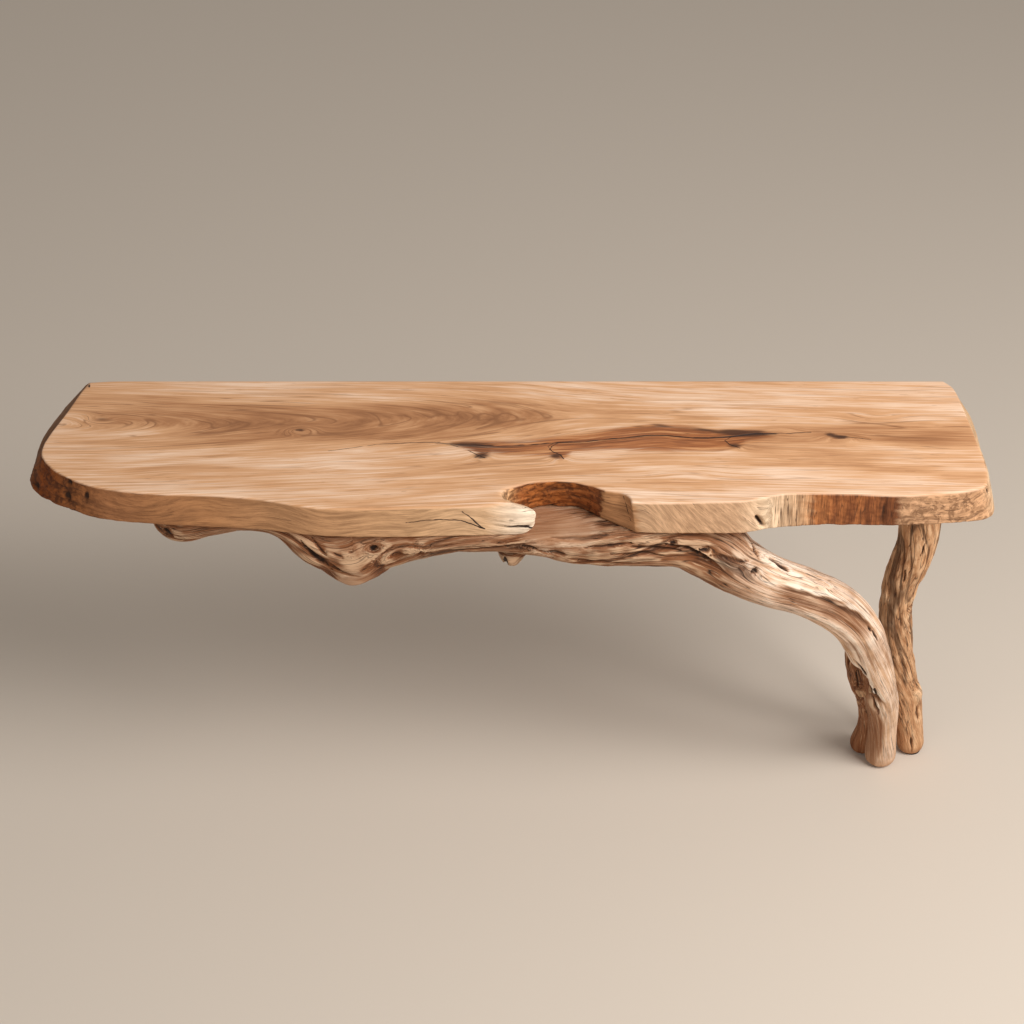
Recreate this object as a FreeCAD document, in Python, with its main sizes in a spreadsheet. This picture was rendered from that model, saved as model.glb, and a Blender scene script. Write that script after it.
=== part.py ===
"""Console table with a live-edge slab on driftwood legs, held to a wall at its back. Sizes in mm.

X runs along the slab, +Y points to the wall and Z is up. The floor is Z = 0.
"""

import FreeCAD, Part
import Sketcher
import math
import os
from FreeCAD import Placement, Rotation, Vector

SIZES = [
    ("table_height", 745, "floor to the slab's top"),
    ("slab_length", 1650, "widest length of the slab, at its underside"),
    ("slab_depth", 400, "sawn back edge to the foremost point"),
    ("slab_thickness", 62, "sawn top to sawn underside"),
    ("edge_ease", 5, "rounding of the worn upper arris"),
    ("twig_diameter", 24, "cut end of the pruned twig"),
    ("twig_drop", 92, "slab's underside to the twig's cut end"),
    ("twig_length", 64, "cut end to its root inside the beam"),
    ("dowel_diameter", 25, "dowel on the right leg"),
    ("dowel_length", 80, "half in the leg, half in the slab"),
    ("dowel_slack", 0.1, "glue gap around and beyond a dowel or plug"),
    ("limb_screw_diameter", 8, "structural screw, thread included"),
    ("limb_screw_length", 85, "under the head"),
    ("limb_grip", 45, "wood of the limb between washer and slab"),
    ("limb_head_diameter", 15, "structural screw head"),
    ("limb_head_height", 6, "structural screw head"),
    ("washer_diameter", 20, "under the structural screw head"),
    ("washer_thickness", 2, "under the structural screw head"),
    ("counterbore_diameter", 22, "for washer and wood plug"),
    ("limb_plug_length", 14, "along the plug's axis, less where the counterbore is shallow"),
    ("tie_screw_diameter", 6, "inner leg to front leg"),
    ("tie_screw_length", 46, "under the head"),
    ("tie_head_diameter", 11, "inner leg screw head"),
    ("tie_head_height", 4, "inner leg screw head"),
    ("tie_bore_diameter", 13, "counterbore of the inner leg screws"),
    ("hole_slack", 0.1, "radial gap around a screw"),
    ("end_gap", 1, "free depth beyond a screw's tip and under a plug"),
    ("bracket_spacing", 1000, "between the outer brackets"),
    ("bracket_arm", 220, "along the slab's underside"),
    ("bracket_drop", 150, "down the wall"),
    ("bracket_width", 40, "flat steel bar"),
    ("bracket_thickness", 5, "flat steel bar"),
    ("bracket_bend", 4, "inner bend radius"),
    ("bracket_screw_diameter", 5, "into the slab"),
    ("bracket_screw_length", 40, "under the head"),
    ("bracket_head_diameter", 10, "pan head"),
    ("bracket_head_height", 3, "pan head"),
    ("arm_first_hole", 50, "from the wall"),
    ("arm_hole_pitch", 70, "between the holes in an arm"),
    ("wall_hole_diameter", 7, "for the wall fixings"),
    ("wall_first_hole", 45, "below the slab's underside"),
    ("wall_hole_pitch", 80, "between the two wall holes of a bracket"),
    ("pad_thickness", 3, "felt under the feet"),
    ("front_pad_diameter", 40, "felt under the middle foot"),
    ("inner_pad_diameter", 30, "felt under the left foot"),
    ("right_pad_diameter", 34, "felt under the right foot"),
]

# Live edge of the slab from the back left corner, round the left end and the tongue, to the bay's sawn face.
# Share of half the length, share of the depth from the wall, then the underside's lead along X and Y in mm.
LEFT_EDGE = [
    (-0.904, 0.000, -50, 0),
    (-0.931, 0.230, -52, 0),
    (-0.964, 0.475, -29, 0),
    (-0.967, 0.580, -25, 0),
    (-0.951, 0.655, -20, -5),
    (-0.910, 0.748, -10, -5),
    (-0.839, 0.832, -5, -5),
    (-0.726, 0.880, 0, -3),
    (-0.600, 0.895, 0, -6),
    (-0.505, 0.922, 0, -2),
    (-0.410, 0.975, 0, 4),
    (-0.324, 0.996, 0, 6),
    (-0.190, 0.985, 0, 2),
    (-0.044, 0.978, 0, 4),
    (0.030, 0.982, -3, 8),
    (0.058, 0.962, -9, 4),
    (0.044, 0.934, -9, 2),
    (0.012, 0.902, -5, 6),
    (-0.004, 0.870, 0, 8),
    (0.012, 0.828, 0, 10),
    (0.055, 0.793, 0, 11),
    (0.103, 0.787, 0, 12),
    (0.150, 0.806, 0, 11),
    (0.194, 0.855, -4, 3),
]

# From the other end of the sawn face, along the front and the right end, to the back right corner.
RIGHT_EDGE = [
    (0.246, 0.948, 9, 0),
    (0.300, 0.952, 4, -1),
    (0.390, 0.945, 0, -4),
    (0.473, 0.938, 0, -6),
    (0.520, 0.905, 0, -9),
    (0.575, 0.882, 0, -9),
    (0.690, 0.884, 0, -4),
    (0.782, 0.898, 0, -1),
    (0.860, 0.888, 3, -1),
    (0.930, 0.864, 10, -3),
    (0.968, 0.828, 15, -3),
    (0.980, 0.745, 15, 0),
    (0.981, 0.620, 14, 0),
    (0.973, 0.440, 21, 0),
    (0.962, 0.225, 30, 0),
    (0.950, 0.060, 36, 0),
    (0.932, 0.000, 44, 0),
]

# Beam of the limb. Share of half the length, share of the depth, then mm:
# centre below the slab's underside, half depth, half height.
BEAM = [
    (-0.735, 0.775, 4, 14, 14),
    (-0.712, 0.780, 9, 28, 32),
    (-0.674, 0.785, 14, 35, 44),
    (-0.620, 0.792, 8, 36, 36),
    (-0.560, 0.800, 2, 36, 28),
    (-0.504, 0.812, 0, 38, 26),
    (-0.444, 0.825, 10, 44, 38),
    (-0.383, 0.838, 40, 52, 54),
    (-0.315, 0.842, 54, 55, 76),
    (-0.262, 0.842, 38, 55, 56),
    (-0.190, 0.842, 26, 54, 46),
    (-0.076, 0.842, 18, 52, 42),
    (0.050, 0.842, 24, 52, 47),
    (0.162, 0.840, 30, 52, 57),
    (0.280, 0.832, 34, 52, 57),
    (0.364, 0.826, 40, 52, 58),
]

# Fork and front leg. Share of half the length, share of the depth, share of the underside's height,
# then half depth and half height in mm.
FRONT_LEG = [
    (0.415, 0.822, 0.907, 50, 60),
    (0.470, 0.822, 0.852, 46, 53),
    (0.545, 0.812, 0.797, 42, 47),
    (0.618, 0.790, 0.752, 39, 44),
    (0.686, 0.755, 0.692, 38, 44),
    (0.738, 0.712, 0.609, 37, 41),
    (0.776, 0.652, 0.492, 37, 37),
    (0.801, 0.588, 0.381, 34, 34),
    (0.825, 0.512, 0.261, 29, 30),
    (0.836, 0.445, 0.139, 26, 27),
    (0.841, 0.392, 0.030, 28, 29),
    (0.844, 0.370, -0.040, 27, 28),
]

INNER_LEG = [
    (0.742, 0.640, 0.560, 12, 10),
    (0.748, 0.620, 0.500, 22, 20),
    (0.759, 0.585, 0.430, 26, 25),
    (0.776, 0.530, 0.340, 25, 24),
    (0.798, 0.455, 0.237, 22, 20),
    (0.810, 0.365, 0.120, 21, 20),
    (0.806, 0.305, 0.030, 24, 24),
    (0.803, 0.270, -0.040, 23, 23),
]

RIGHT_LEG = [
    (0.884, 0.365, 1.060, 40, 41),
    (0.883, 0.360, 0.900, 38, 40),
    (0.880, 0.352, 0.726, 37, 37),
    (0.868, 0.347, 0.660, 35, 36),
    (0.856, 0.338, 0.600, 33, 33),
    (0.850, 0.326, 0.514, 32, 31),
    (0.857, 0.315, 0.401, 31, 31),
    (0.872, 0.311, 0.288, 31, 31),
    (0.892, 0.304, 0.180, 29, 30),
    (0.909, 0.302, 0.070, 25, 26),
    (0.921, 0.302, -0.040, 25, 25),
]

# Pruned twig under the beam, as shares of half the length and of the depth.
TWIG = (0.012, 0.830)

# Screws through the limb, as shares of half the length and of the depth.
LIMB_SCREWS = [
    (-0.315, 0.842),
    (-0.190, 0.842),
    (0.285, 0.832),
    (0.360, 0.826),
]

# Heights of the two screws of the inner leg, as shares of the underside's height.
TIE_HEIGHTS = [0.330, 0.190]

# Places of the felt pads, as shares of half the length and of the depth.
FRONT_FOOT = (0.840, 0.382)
INNER_FOOT = (0.803, 0.292)
RIGHT_FOOT = (0.917, 0.302)

# Brackets from left to right, as steps of half their spacing from the middle.
BRACKET_SIDES = {"left": -1, "centre": 0, "right": 1}
ARM_HOLES = 3
WALL_HOLES = 2
# Two places closer than this, in mm, are the same place.
TOUCH = 0.01
# Poles around a driftwood stem, pitch of its rings in mm, and degree of the skin over them.
SECTION_POINTS = 10
SECTION_PITCH = 28
SKIN_DEGREE = 3
# Length of the cutter of a counterbore in the limb, in counterbore diameters: more than the limb is thick.
BORE_DIAMETERS = 8
# A smooth closed curve runs inside its poles, so the poles stand out by this much.
POLE_REACH = 3 / (2 + math.cos(2 * math.pi / SECTION_POINTS))


doc = FreeCAD.newDocument("console_table")
sheet = doc.addObject("Spreadsheet::Sheet", "sizes")
for row, (alias, value, note) in enumerate(SIZES, start=1):
    sheet.set("A%d" % row, alias)
    sheet.set("B%d" % row, str(value))
    sheet.set("C%d" % row, note)
    sheet.setAlias("B%d" % row, alias)
doc.recompute()


def size(alias):
    return float(getattr(sheet, alias))


UNDERSIDE = size("table_height") - size("slab_thickness")
WALL = size("slab_depth") / 2
UP = Vector(0, 0, 1)
BORE_REACH = size("counterbore_diameter") * BORE_DIAMETERS


def along(share):
    return share * size("slab_length") / 2


def out(share):
    return WALL - share * size("slab_depth")


def bracket_place(side):
    return side * size("bracket_spacing") / 2


def bind(item, **expressions):
    for name, expression in expressions.items():
        item.setExpression(name.replace("__", "."), expression)


def new_body(name):
    body = doc.addObject("PartDesign::Body", name)
    body.Label = name
    return body


def plane(body, role):
    return next(item for item in body.Origin.OriginFeatures if item.Role == role)


def new_sketch(body, name, role):
    sketch = body.newObject("Sketcher::SketchObject", name)
    sketch.AttachmentSupport = [(plane(body, role), "")]
    sketch.MapMode = "FlatFace"
    return sketch


def spline(points):
    curve = Part.BSplineCurve()
    curve.interpolate(points)
    return curve


def edge_points(edge, lead):
    """Points of a live edge at the slab's top (lead 0) or at its underside (lead 1)."""
    return [Vector(along(x) + lead * lead_x, out(y) + lead * lead_y, 0) for x, y, lead_x, lead_y in edge]


def drawn_in(points, amount):
    """Outline points moved square to the edge into the wood; the two back corners stay at the wall."""
    moved = []
    for index, point in enumerate(points):
        before = points[index - 1]
        after = points[(index + 1) % len(points)]
        course = (after - before).normalize()
        moved.append(point + Vector(-course.y, course.x, 0) * amount)
    moved[0] = points[0] + Vector(amount, 0, 0)
    moved[-1] = points[-1] - Vector(amount, 0, 0)
    return moved


def slab_outline(body, name, lead, inset, height):
    sketch = new_sketch(body, name, "XY_Plane")
    bind(sketch, AttachmentOffset__Base__z=height)
    points = drawn_in(edge_points(LEFT_EDGE + RIGHT_EDGE, lead), inset)
    left = points[:len(LEFT_EDGE)]
    right = points[len(LEFT_EDGE):]
    sketch.addGeometry(Part.LineSegment(right[-1], left[0]), False)
    sketch.addGeometry(spline(left), False)
    sketch.addGeometry(Part.LineSegment(left[-1], right[0]), False)
    sketch.addGeometry(spline(right), False)
    return sketch


def add_circles(sketch, places, radius):
    """Circles at the given places whose radii follow an expression of the sheet."""
    for x, y in places:
        circle = sketch.addGeometry(Part.Circle(Vector(x, y, 0), UP, 1), False)
        constraint = sketch.addConstraint(Sketcher.Constraint("Radius", circle, 1))
        sketch.setExpression("Constraints[%d]" % constraint, radius)


def underside_holes(body, name, places, radius, depth):
    """Blind holes drilled up into the slab."""
    sketch = new_sketch(body, name + "_places", "XY_Plane")
    bind(sketch, AttachmentOffset__Base__z="sizes.table_height - sizes.slab_thickness")
    add_circles(sketch, places, radius)
    pocket = body.newObject("PartDesign::Pocket", name)
    pocket.Profile = sketch
    pocket.Reversed = True
    bind(pocket, Length=depth)
    doc.recompute()


def turned(points):
    """Solid turned about Z from (radius, height) points."""
    corners = [Vector(radius, 0, height) for radius, height in points]
    face = Part.Face(Part.makePolygon(corners + corners[:1]))
    return face.revolve(Vector(0, 0, 0), UP, 360)


def group(name, solids):
    item = doc.addObject("Part::Feature", name)
    item.Label = name
    item.Shape = Part.makeCompound(solids)
    return item


def placed(solid, where, direction=UP):
    copy = solid.copy()
    copy.Placement = Placement(where, Rotation(UP, direction))
    return copy


def centre_line(rows):
    return [Vector(along(x), out(y), UNDERSIDE * rise) for x, y, rise, _, _ in rows]


def eased_value(stations, values, at):
    """Value at a station of the path, on a smooth curve through the given values."""
    index = max(i for i in range(len(stations) - 1) if stations[i] <= at)
    span = stations[index + 1] - stations[index]
    share = (at - stations[index]) / span
    slopes = []
    for i in (index, index + 1):
        before = max(i - 1, 0)
        after = min(i + 1, len(values) - 1)
        slopes.append(span * (values[after] - values[before]) / (stations[after] - stations[before]))
    return (
        values[index] * (1 + 2 * share) * (1 - share) ** 2
        + slopes[0] * share * (1 - share) ** 2
        + values[index + 1] * share ** 2 * (3 - 2 * share)
        - slopes[1] * share ** 2 * (1 - share)
    )


def growth(name, centres, halves):
    """Driftwood stem: a smooth skin over oval rings square to the line of their centres."""
    path = spline(centres)
    stations = [path.parameter(centre) for centre in centres]
    half_depths = [half[0] for half in halves]
    half_heights = [half[1] for half in halves]
    rings = []
    for centre in path.discretize(Number=int(path.length() / SECTION_PITCH)):
        station = min(max(path.parameter(centre), stations[0]), stations[-1])
        heading = path.tangent(station)[0]
        side = (Vector(0, 1, 0) - heading * heading.y).normalize()
        lift = heading.cross(side)
        half_depth = eased_value(stations, half_depths, station)
        half_height = eased_value(stations, half_heights, station)
        ring = []
        for step in range(SECTION_POINTS):
            angle = 2 * math.pi * step / SECTION_POINTS
            across = side * (half_depth * math.cos(angle))
            upward = lift * (half_height * math.sin(angle))
            ring.append(centre + (across + upward) * POLE_REACH)
        rings.append(ring)
    around = list(range(SECTION_POINTS + 1))
    length_knots = list(range(len(rings) - SKIN_DEGREE + 1))
    ends = SKIN_DEGREE + 1
    surface = Part.BSplineSurface()
    surface.buildFromPolesMultsKnots(
        rings,
        [ends] + [1] * (len(length_knots) - 2) + [ends],
        [1] * len(around),
        length_knots,
        around,
        False,
        True,
        SKIN_DEGREE,
        SKIN_DEGREE,
    )
    skin = surface.toShape()
    end_curves = [surface.uIso(length_knots[0]), surface.uIso(length_knots[-1])]
    end_faces = [Part.Face(Part.Wire([curve.toShape()])) for curve in end_curves]
    stem = doc.addObject("Part::Feature", name + "_stem")
    shell = Part.makeShell([skin] + end_faces)
    shell.sewShape()
    solid = Part.Solid(shell)
    if solid.Volume < 0:
        solid.reverse()
    stem.Shape = solid
    return stem


def between_pads_and_slab(name, stem):
    """Trim a stem flat where it meets the slab and where it stands on its pad."""
    room = doc.addObject("Part::Box", name + "_room")
    bind(
        room,
        Length="sizes.slab_length * 2",
        Width="sizes.slab_depth * 2",
        Height="sizes.table_height - sizes.slab_thickness - sizes.pad_thickness",
        Placement__Base__x="-sizes.slab_length",
        Placement__Base__y="-sizes.slab_depth",
        Placement__Base__z="sizes.pad_thickness",
    )
    trimmed = doc.addObject("Part::Common", name + "_trimmed")
    trimmed.Base = stem
    trimmed.Tool = room
    doc.recompute()
    return trimmed


def cut(name, base, tool):
    item = doc.addObject("Part::Cut", name)
    item.Label = name
    item.Base = base
    item.Tool = tool
    doc.recompute()
    return item


def at_height(centres, height):
    """Point of a falling centre line at the given height."""
    for upper, lower in zip(centres, centres[1:]):
        if lower.z <= height <= upper.z:
            return upper + (lower - upper) * ((upper.z - height) / (upper.z - lower.z))
    raise ValueError("height is off the centre line")


def mouth_height(blank, x, y, top):
    """Height at which an axis that starts inside the blank comes out of its lower face."""
    inside = top
    outside = top - BORE_REACH
    while inside - outside > TOUCH:
        middle = (inside + outside) / 2
        if blank.isInside(Vector(x, y, middle), TOUCH, True):
            inside = middle
        else:
            outside = middle
    return inside


# Shared places.
beam_centres = [Vector(along(x), out(y), UNDERSIDE - drop) for x, y, drop, _, _ in BEAM]
front_centres = centre_line(FRONT_LEG)
inner_centres = centre_line(INNER_LEG)
right_centres = centre_line(RIGHT_LEG)
right_top = at_height(right_centres, UNDERSIDE)
limb_screw_places = [(along(x), out(y)) for x, y in LIMB_SCREWS]
arm_hole_steps = [size("arm_first_hole") + step * size("arm_hole_pitch") for step in range(ARM_HOLES)]
wall_hole_steps = [size("wall_first_hole") + step * size("wall_hole_pitch") for step in range(WALL_HOLES)]
bracket_screw_places = [
    (bracket_place(side), WALL - step) for side in BRACKET_SIDES.values() for step in arm_hole_steps
]

# Slab.
slab = new_body("slab_top")
lower_outline = slab_outline(slab, "lower_outline", 1, 0, "sizes.table_height - sizes.slab_thickness")
arris_outline = slab_outline(slab, "arris_outline", 0, 0, "sizes.table_height - sizes.edge_ease")
upper_outline = slab_outline(slab, "upper_outline", 0, size("edge_ease"), "sizes.table_height")
slab_loft = slab.newObject("PartDesign::AdditiveLoft", "slab_loft")
slab_loft.Profile = (lower_outline, [""])
slab_loft.Sections = [(arris_outline, [""]), (upper_outline, [""])]
slab_loft.Ruled = True
doc.recompute()
underside_holes(
    slab,
    "dowel_hole",
    [(right_top.x, right_top.y)],
    "sizes.dowel_diameter / 2 + sizes.dowel_slack",
    "sizes.dowel_length / 2 + sizes.dowel_slack",
)
underside_holes(
    slab,
    "limb_screw_holes",
    limb_screw_places,
    "sizes.limb_screw_diameter / 2 + sizes.hole_slack",
    "sizes.limb_screw_length - sizes.limb_grip - sizes.washer_thickness + sizes.end_gap",
)
underside_holes(
    slab,
    "bracket_screw_holes",
    bracket_screw_places,
    "sizes.bracket_screw_diameter / 2 + sizes.hole_slack",
    "sizes.bracket_screw_length - sizes.bracket_thickness + sizes.end_gap",
)

# Limb: beam, fork and front leg in one piece of driftwood.
limb_centres = beam_centres + front_centres
limb_halves = [row[3:5] for row in BEAM + FRONT_LEG]
twig = doc.addObject("Part::Cone", "twig")
bind(
    twig,
    Radius1="sizes.twig_diameter / 2",
    Radius2="sizes.twig_diameter",
    Height="sizes.twig_length",
    Placement__Base__z="sizes.table_height - sizes.slab_thickness - sizes.twig_drop",
)
twig.Placement.Base = Vector(along(TWIG[0]), out(TWIG[1]), twig.Placement.Base.z)
limb_with_twig = doc.addObject("Part::Fuse", "limb_with_twig")
limb_with_twig.Base = growth("limb", limb_centres, limb_halves)
limb_with_twig.Tool = twig
limb_blank = between_pads_and_slab("limb", limb_with_twig)
limb_bore_radius = size("limb_screw_diameter") / 2 + size("hole_slack")
counterbore_radius = size("counterbore_diameter") / 2
limb_seat = UNDERSIDE - size("limb_grip")
limb_bore = turned([
    (0, size("limb_grip") + size("end_gap")),
    (limb_bore_radius, size("limb_grip") + size("end_gap")),
    (limb_bore_radius, 0),
    (counterbore_radius, 0),
    (counterbore_radius, -BORE_REACH),
    (0, -BORE_REACH),
])
limb_bores = group("limb_bores", [placed(limb_bore, Vector(x, y, limb_seat)) for x, y in limb_screw_places])
bored_limb = cut("bored_limb", limb_blank, limb_bores)

# Screws of the limb, with a washer and a flush wood plug each.
shank = size("limb_screw_diameter") / 2
screw_form = turned([
    (0, -size("washer_thickness") - size("limb_head_height")),
    (size("limb_head_diameter") / 2, -size("washer_thickness") - size("limb_head_height")),
    (size("limb_head_diameter") / 2, -size("washer_thickness")),
    (shank, -size("washer_thickness")),
    (shank, size("limb_screw_length") - size("washer_thickness") - 2 * shank),
    (0, size("limb_screw_length") - size("washer_thickness")),
])
washer_form = turned([
    (limb_bore_radius, -size("washer_thickness")),
    (size("washer_diameter") / 2, -size("washer_thickness")),
    (size("washer_diameter") / 2, 0),
    (limb_bore_radius, 0),
])
limb_screws = group("limb_screws", [placed(screw_form, Vector(x, y, limb_seat)) for x, y in limb_screw_places])
limb_washers = group("limb_washers", [placed(washer_form, Vector(x, y, limb_seat)) for x, y in limb_screw_places])
plug_top = limb_seat - size("washer_thickness") - size("limb_head_height") - size("end_gap")
plug_solids = []
for x, y in limb_screw_places:
    mouth = mouth_height(limb_blank.Shape, x, y, plug_top)
    column_top = min(plug_top, mouth + size("limb_plug_length"))
    column = Part.makeCylinder(
        counterbore_radius - size("dowel_slack"), BORE_REACH, Vector(x, y, column_top), -UP
    )
    plug_solids.append(column.common(limb_blank.Shape).Solids[0])
limb_plugs = group("limb_plugs", plug_solids)

# Inner leg, scribed to the front leg it nests against.
inner_trimmed = between_pads_and_slab("inner", growth("inner", inner_centres, [row[3:5] for row in INNER_LEG]))
inner_blank = cut("inner_blank", inner_trimmed, limb_blank)
tie_seats = []
for rise in TIE_HEIGHTS:
    start = at_height(inner_centres, UNDERSIDE * rise)
    goal = at_height(front_centres, UNDERSIDE * rise)
    inward = Vector(goal.x - start.x, goal.y - start.y, 0).normalize()
    tie_seats.append((start - inward * size("tie_head_height"), inward))
tie_bore_radius = size("tie_screw_diameter") / 2 + size("hole_slack")
tie_bore = turned([
    (0, size("tie_screw_length") + size("end_gap")),
    (tie_bore_radius, size("tie_screw_length") + size("end_gap")),
    (tie_bore_radius, 0),
    (size("tie_bore_diameter") / 2, 0),
    (size("tie_bore_diameter") / 2, -size("tie_screw_length")),
    (0, -size("tie_screw_length")),
])
tie_bores = group("tie_bores", [placed(tie_bore, seat, inward) for seat, inward in tie_seats])
inner_leg = cut("inner_leg", inner_blank, tie_bores)
driftwood_limb = cut("driftwood_limb", bored_limb, tie_bores)

tie_shank = size("tie_screw_diameter") / 2
tie_form = turned([
    (0, -size("tie_head_height")),
    (size("tie_head_diameter") / 2, -size("tie_head_height")),
    (size("tie_head_diameter") / 2, 0),
    (tie_shank, 0),
    (tie_shank, size("tie_screw_length") - 2 * tie_shank),
    (0, size("tie_screw_length")),
])
inner_leg_screws = group("inner_leg_screws", [placed(tie_form, seat, inward) for seat, inward in tie_seats])
tie_plug_solids = []
for seat, inward in tie_seats:
    tie_column = Part.makeCylinder(
        size("tie_bore_diameter") / 2 - size("dowel_slack"),
        size("tie_screw_length"),
        seat - inward * (size("tie_head_height") + size("end_gap")),
        -inward,
    )
    tie_plug_solids.append(tie_column.common(inner_blank.Shape).Solids[0])
inner_leg_plugs = group("inner_leg_plugs", tie_plug_solids)

# Right leg on its dowel.
right_blank = between_pads_and_slab("right", growth("right", right_centres, [row[3:5] for row in RIGHT_LEG]))
dowel_socket = doc.addObject("Part::Cylinder", "dowel_socket")
bind(
    dowel_socket,
    Radius="sizes.dowel_diameter / 2 + sizes.dowel_slack",
    Height="sizes.dowel_length",
    Placement__Base__z="sizes.table_height - sizes.slab_thickness - sizes.dowel_length / 2 - sizes.dowel_slack",
)
dowel_socket.Placement.Base = Vector(right_top.x, right_top.y, dowel_socket.Placement.Base.z)
right_leg = cut("right_leg", right_blank, dowel_socket)
right_leg_dowel = doc.addObject("Part::Cylinder", "right_leg_dowel")
bind(
    right_leg_dowel,
    Radius="sizes.dowel_diameter / 2",
    Height="sizes.dowel_length",
    Placement__Base__z="sizes.table_height - sizes.slab_thickness - sizes.dowel_length / 2",
)
right_leg_dowel.Placement.Base = Vector(right_top.x, right_top.y, right_leg_dowel.Placement.Base.z)


def bar_profile(body, name, side):
    """Section of the bent bar in the YZ plane, with its corner at the wall and under the slab."""
    sketch = new_sketch(body, name + "_profile", "YZ_Plane")
    bind(sketch, AttachmentOffset__Base__z="%d * sizes.bracket_spacing / 2" % side)
    thickness = size("bracket_thickness")
    corners = [
        Vector(WALL, UNDERSIDE, 0),
        Vector(WALL - size("bracket_arm"), UNDERSIDE, 0),
        Vector(WALL - size("bracket_arm"), UNDERSIDE - thickness, 0),
        Vector(WALL - thickness, UNDERSIDE - thickness, 0),
        Vector(WALL - thickness, UNDERSIDE - size("bracket_drop"), 0),
        Vector(WALL, UNDERSIDE - size("bracket_drop"), 0),
    ]
    lines = []
    for first, second in zip(corners, corners[1:] + corners[:1]):
        lines.append(sketch.addGeometry(Part.LineSegment(first, second), False))
    for line, following in zip(lines, lines[1:] + lines[:1]):
        sketch.addConstraint(Sketcher.Constraint("Coincident", line, 2, following, 1))
    for number, line in enumerate(lines):
        sketch.addConstraint(Sketcher.Constraint("Vertical" if number % 2 else "Horizontal", line))
    bound = [
        (Sketcher.Constraint("DistanceX", -1, 1, lines[0], 1, WALL), "sizes.slab_depth / 2"),
        (
            Sketcher.Constraint("DistanceY", -1, 1, lines[0], 1, UNDERSIDE),
            "sizes.table_height - sizes.slab_thickness",
        ),
        (Sketcher.Constraint("Distance", lines[0], size("bracket_arm")), "sizes.bracket_arm"),
        (Sketcher.Constraint("Distance", lines[5], size("bracket_drop")), "sizes.bracket_drop"),
        (Sketcher.Constraint("Distance", lines[1], thickness), "sizes.bracket_thickness"),
        (Sketcher.Constraint("Distance", lines[4], thickness), "sizes.bracket_thickness"),
    ]
    for constraint, expression in bound:
        number = sketch.addConstraint(constraint)
        sketch.setExpression("Constraints[%d]" % number, expression)
    return sketch


def wall_bracket(name, side):
    """Bent flat bar: an arm under the slab and a drop down the wall, drilled for screws and fixings."""
    body = new_body(name)
    x = bracket_place(side)
    bar = body.newObject("PartDesign::Pad", name + "_bar")
    bar.Profile = bar_profile(body, name, side)
    bar.Midplane = True
    bind(bar, Length="sizes.bracket_width")
    doc.recompute()
    inner_corner = Vector(x, WALL - size("bracket_thickness"), UNDERSIDE - size("bracket_thickness"))
    bend_edges = [
        "Edge%d" % number
        for number, edge in enumerate(bar.Shape.Edges, start=1)
        if edge.CenterOfMass.distanceToPoint(inner_corner) < TOUCH
    ]
    bend = body.newObject("PartDesign::Fillet", name + "_bend")
    bend.Base = (bar, bend_edges)
    bind(bend, Radius="sizes.bracket_bend")
    doc.recompute()
    arm_holes = new_sketch(body, name + "_arm_holes", "XY_Plane")
    bind(arm_holes, AttachmentOffset__Base__z="sizes.table_height - sizes.slab_thickness")
    add_circles(
        arm_holes,
        [(x, WALL - step) for step in arm_hole_steps],
        "sizes.bracket_screw_diameter / 2 + sizes.hole_slack",
    )
    arm_drill = body.newObject("PartDesign::Pocket", name + "_arm_drill")
    arm_drill.Profile = arm_holes
    bind(arm_drill, Length="sizes.bracket_thickness + sizes.end_gap")
    doc.recompute()
    wall_holes = new_sketch(body, name + "_wall_holes", "XZ_Plane")
    bind(wall_holes, AttachmentOffset__Base__z="-sizes.slab_depth / 2")
    add_circles(
        wall_holes,
        [(x, UNDERSIDE - step) for step in wall_hole_steps],
        "sizes.wall_hole_diameter / 2",
    )
    wall_drill = body.newObject("PartDesign::Pocket", name + "_wall_drill")
    wall_drill.Profile = wall_holes
    wall_drill.Reversed = True
    bind(wall_drill, Length="sizes.bracket_thickness + sizes.end_gap")
    doc.recompute()
    return body


brackets = [wall_bracket("wall_bracket_" + name, side) for name, side in BRACKET_SIDES.items()]

bracket_shank = size("bracket_screw_diameter") / 2
bracket_screw_form = turned([
    (0, -size("bracket_head_height")),
    (size("bracket_head_diameter") / 2, -size("bracket_head_height")),
    (size("bracket_head_diameter") / 2, 0),
    (bracket_shank, 0),
    (bracket_shank, size("bracket_screw_length") - 2 * bracket_shank),
    (0, size("bracket_screw_length")),
])
bracket_seat = UNDERSIDE - size("bracket_thickness")
bracket_screws = group(
    "bracket_screws",
    [placed(bracket_screw_form, Vector(x, y, bracket_seat)) for x, y in bracket_screw_places],
)


def foot_pad(name, foot, diameter):
    pad = doc.addObject("Part::Cylinder", name)
    pad.Label = name
    bind(pad, Radius="sizes.%s / 2" % diameter, Height="sizes.pad_thickness")
    pad.Placement.Base = Vector(along(foot[0]), out(foot[1]), 0)
    return pad


pads = [
    foot_pad("foot_pad_front", FRONT_FOOT, "front_pad_diameter"),
    foot_pad("foot_pad_inner", INNER_FOOT, "inner_pad_diameter"),
    foot_pad("foot_pad_right", RIGHT_FOOT, "right_pad_diameter"),
]
doc.recompute()

nodes = [
    slab,
    driftwood_limb,
    inner_leg,
    right_leg,
    right_leg_dowel,
    limb_screws,
    limb_washers,
    limb_plugs,
    inner_leg_screws,
    inner_leg_plugs,
    bracket_screws,
] + brackets + pads

for item in doc.Objects:
    if "Invalid" in item.State or "Error" in item.State:
        raise RuntimeError("%s did not build: %s" % (item.Label, item.State))
os.makedirs("parts", exist_ok=True)
for node in nodes:
    if node.Shape.isNull() or not node.Shape.isValid():
        raise RuntimeError("%s has no valid shape" % node.Label)
    node.Shape.exportStep("parts/%s.step" % node.Label)
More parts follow.
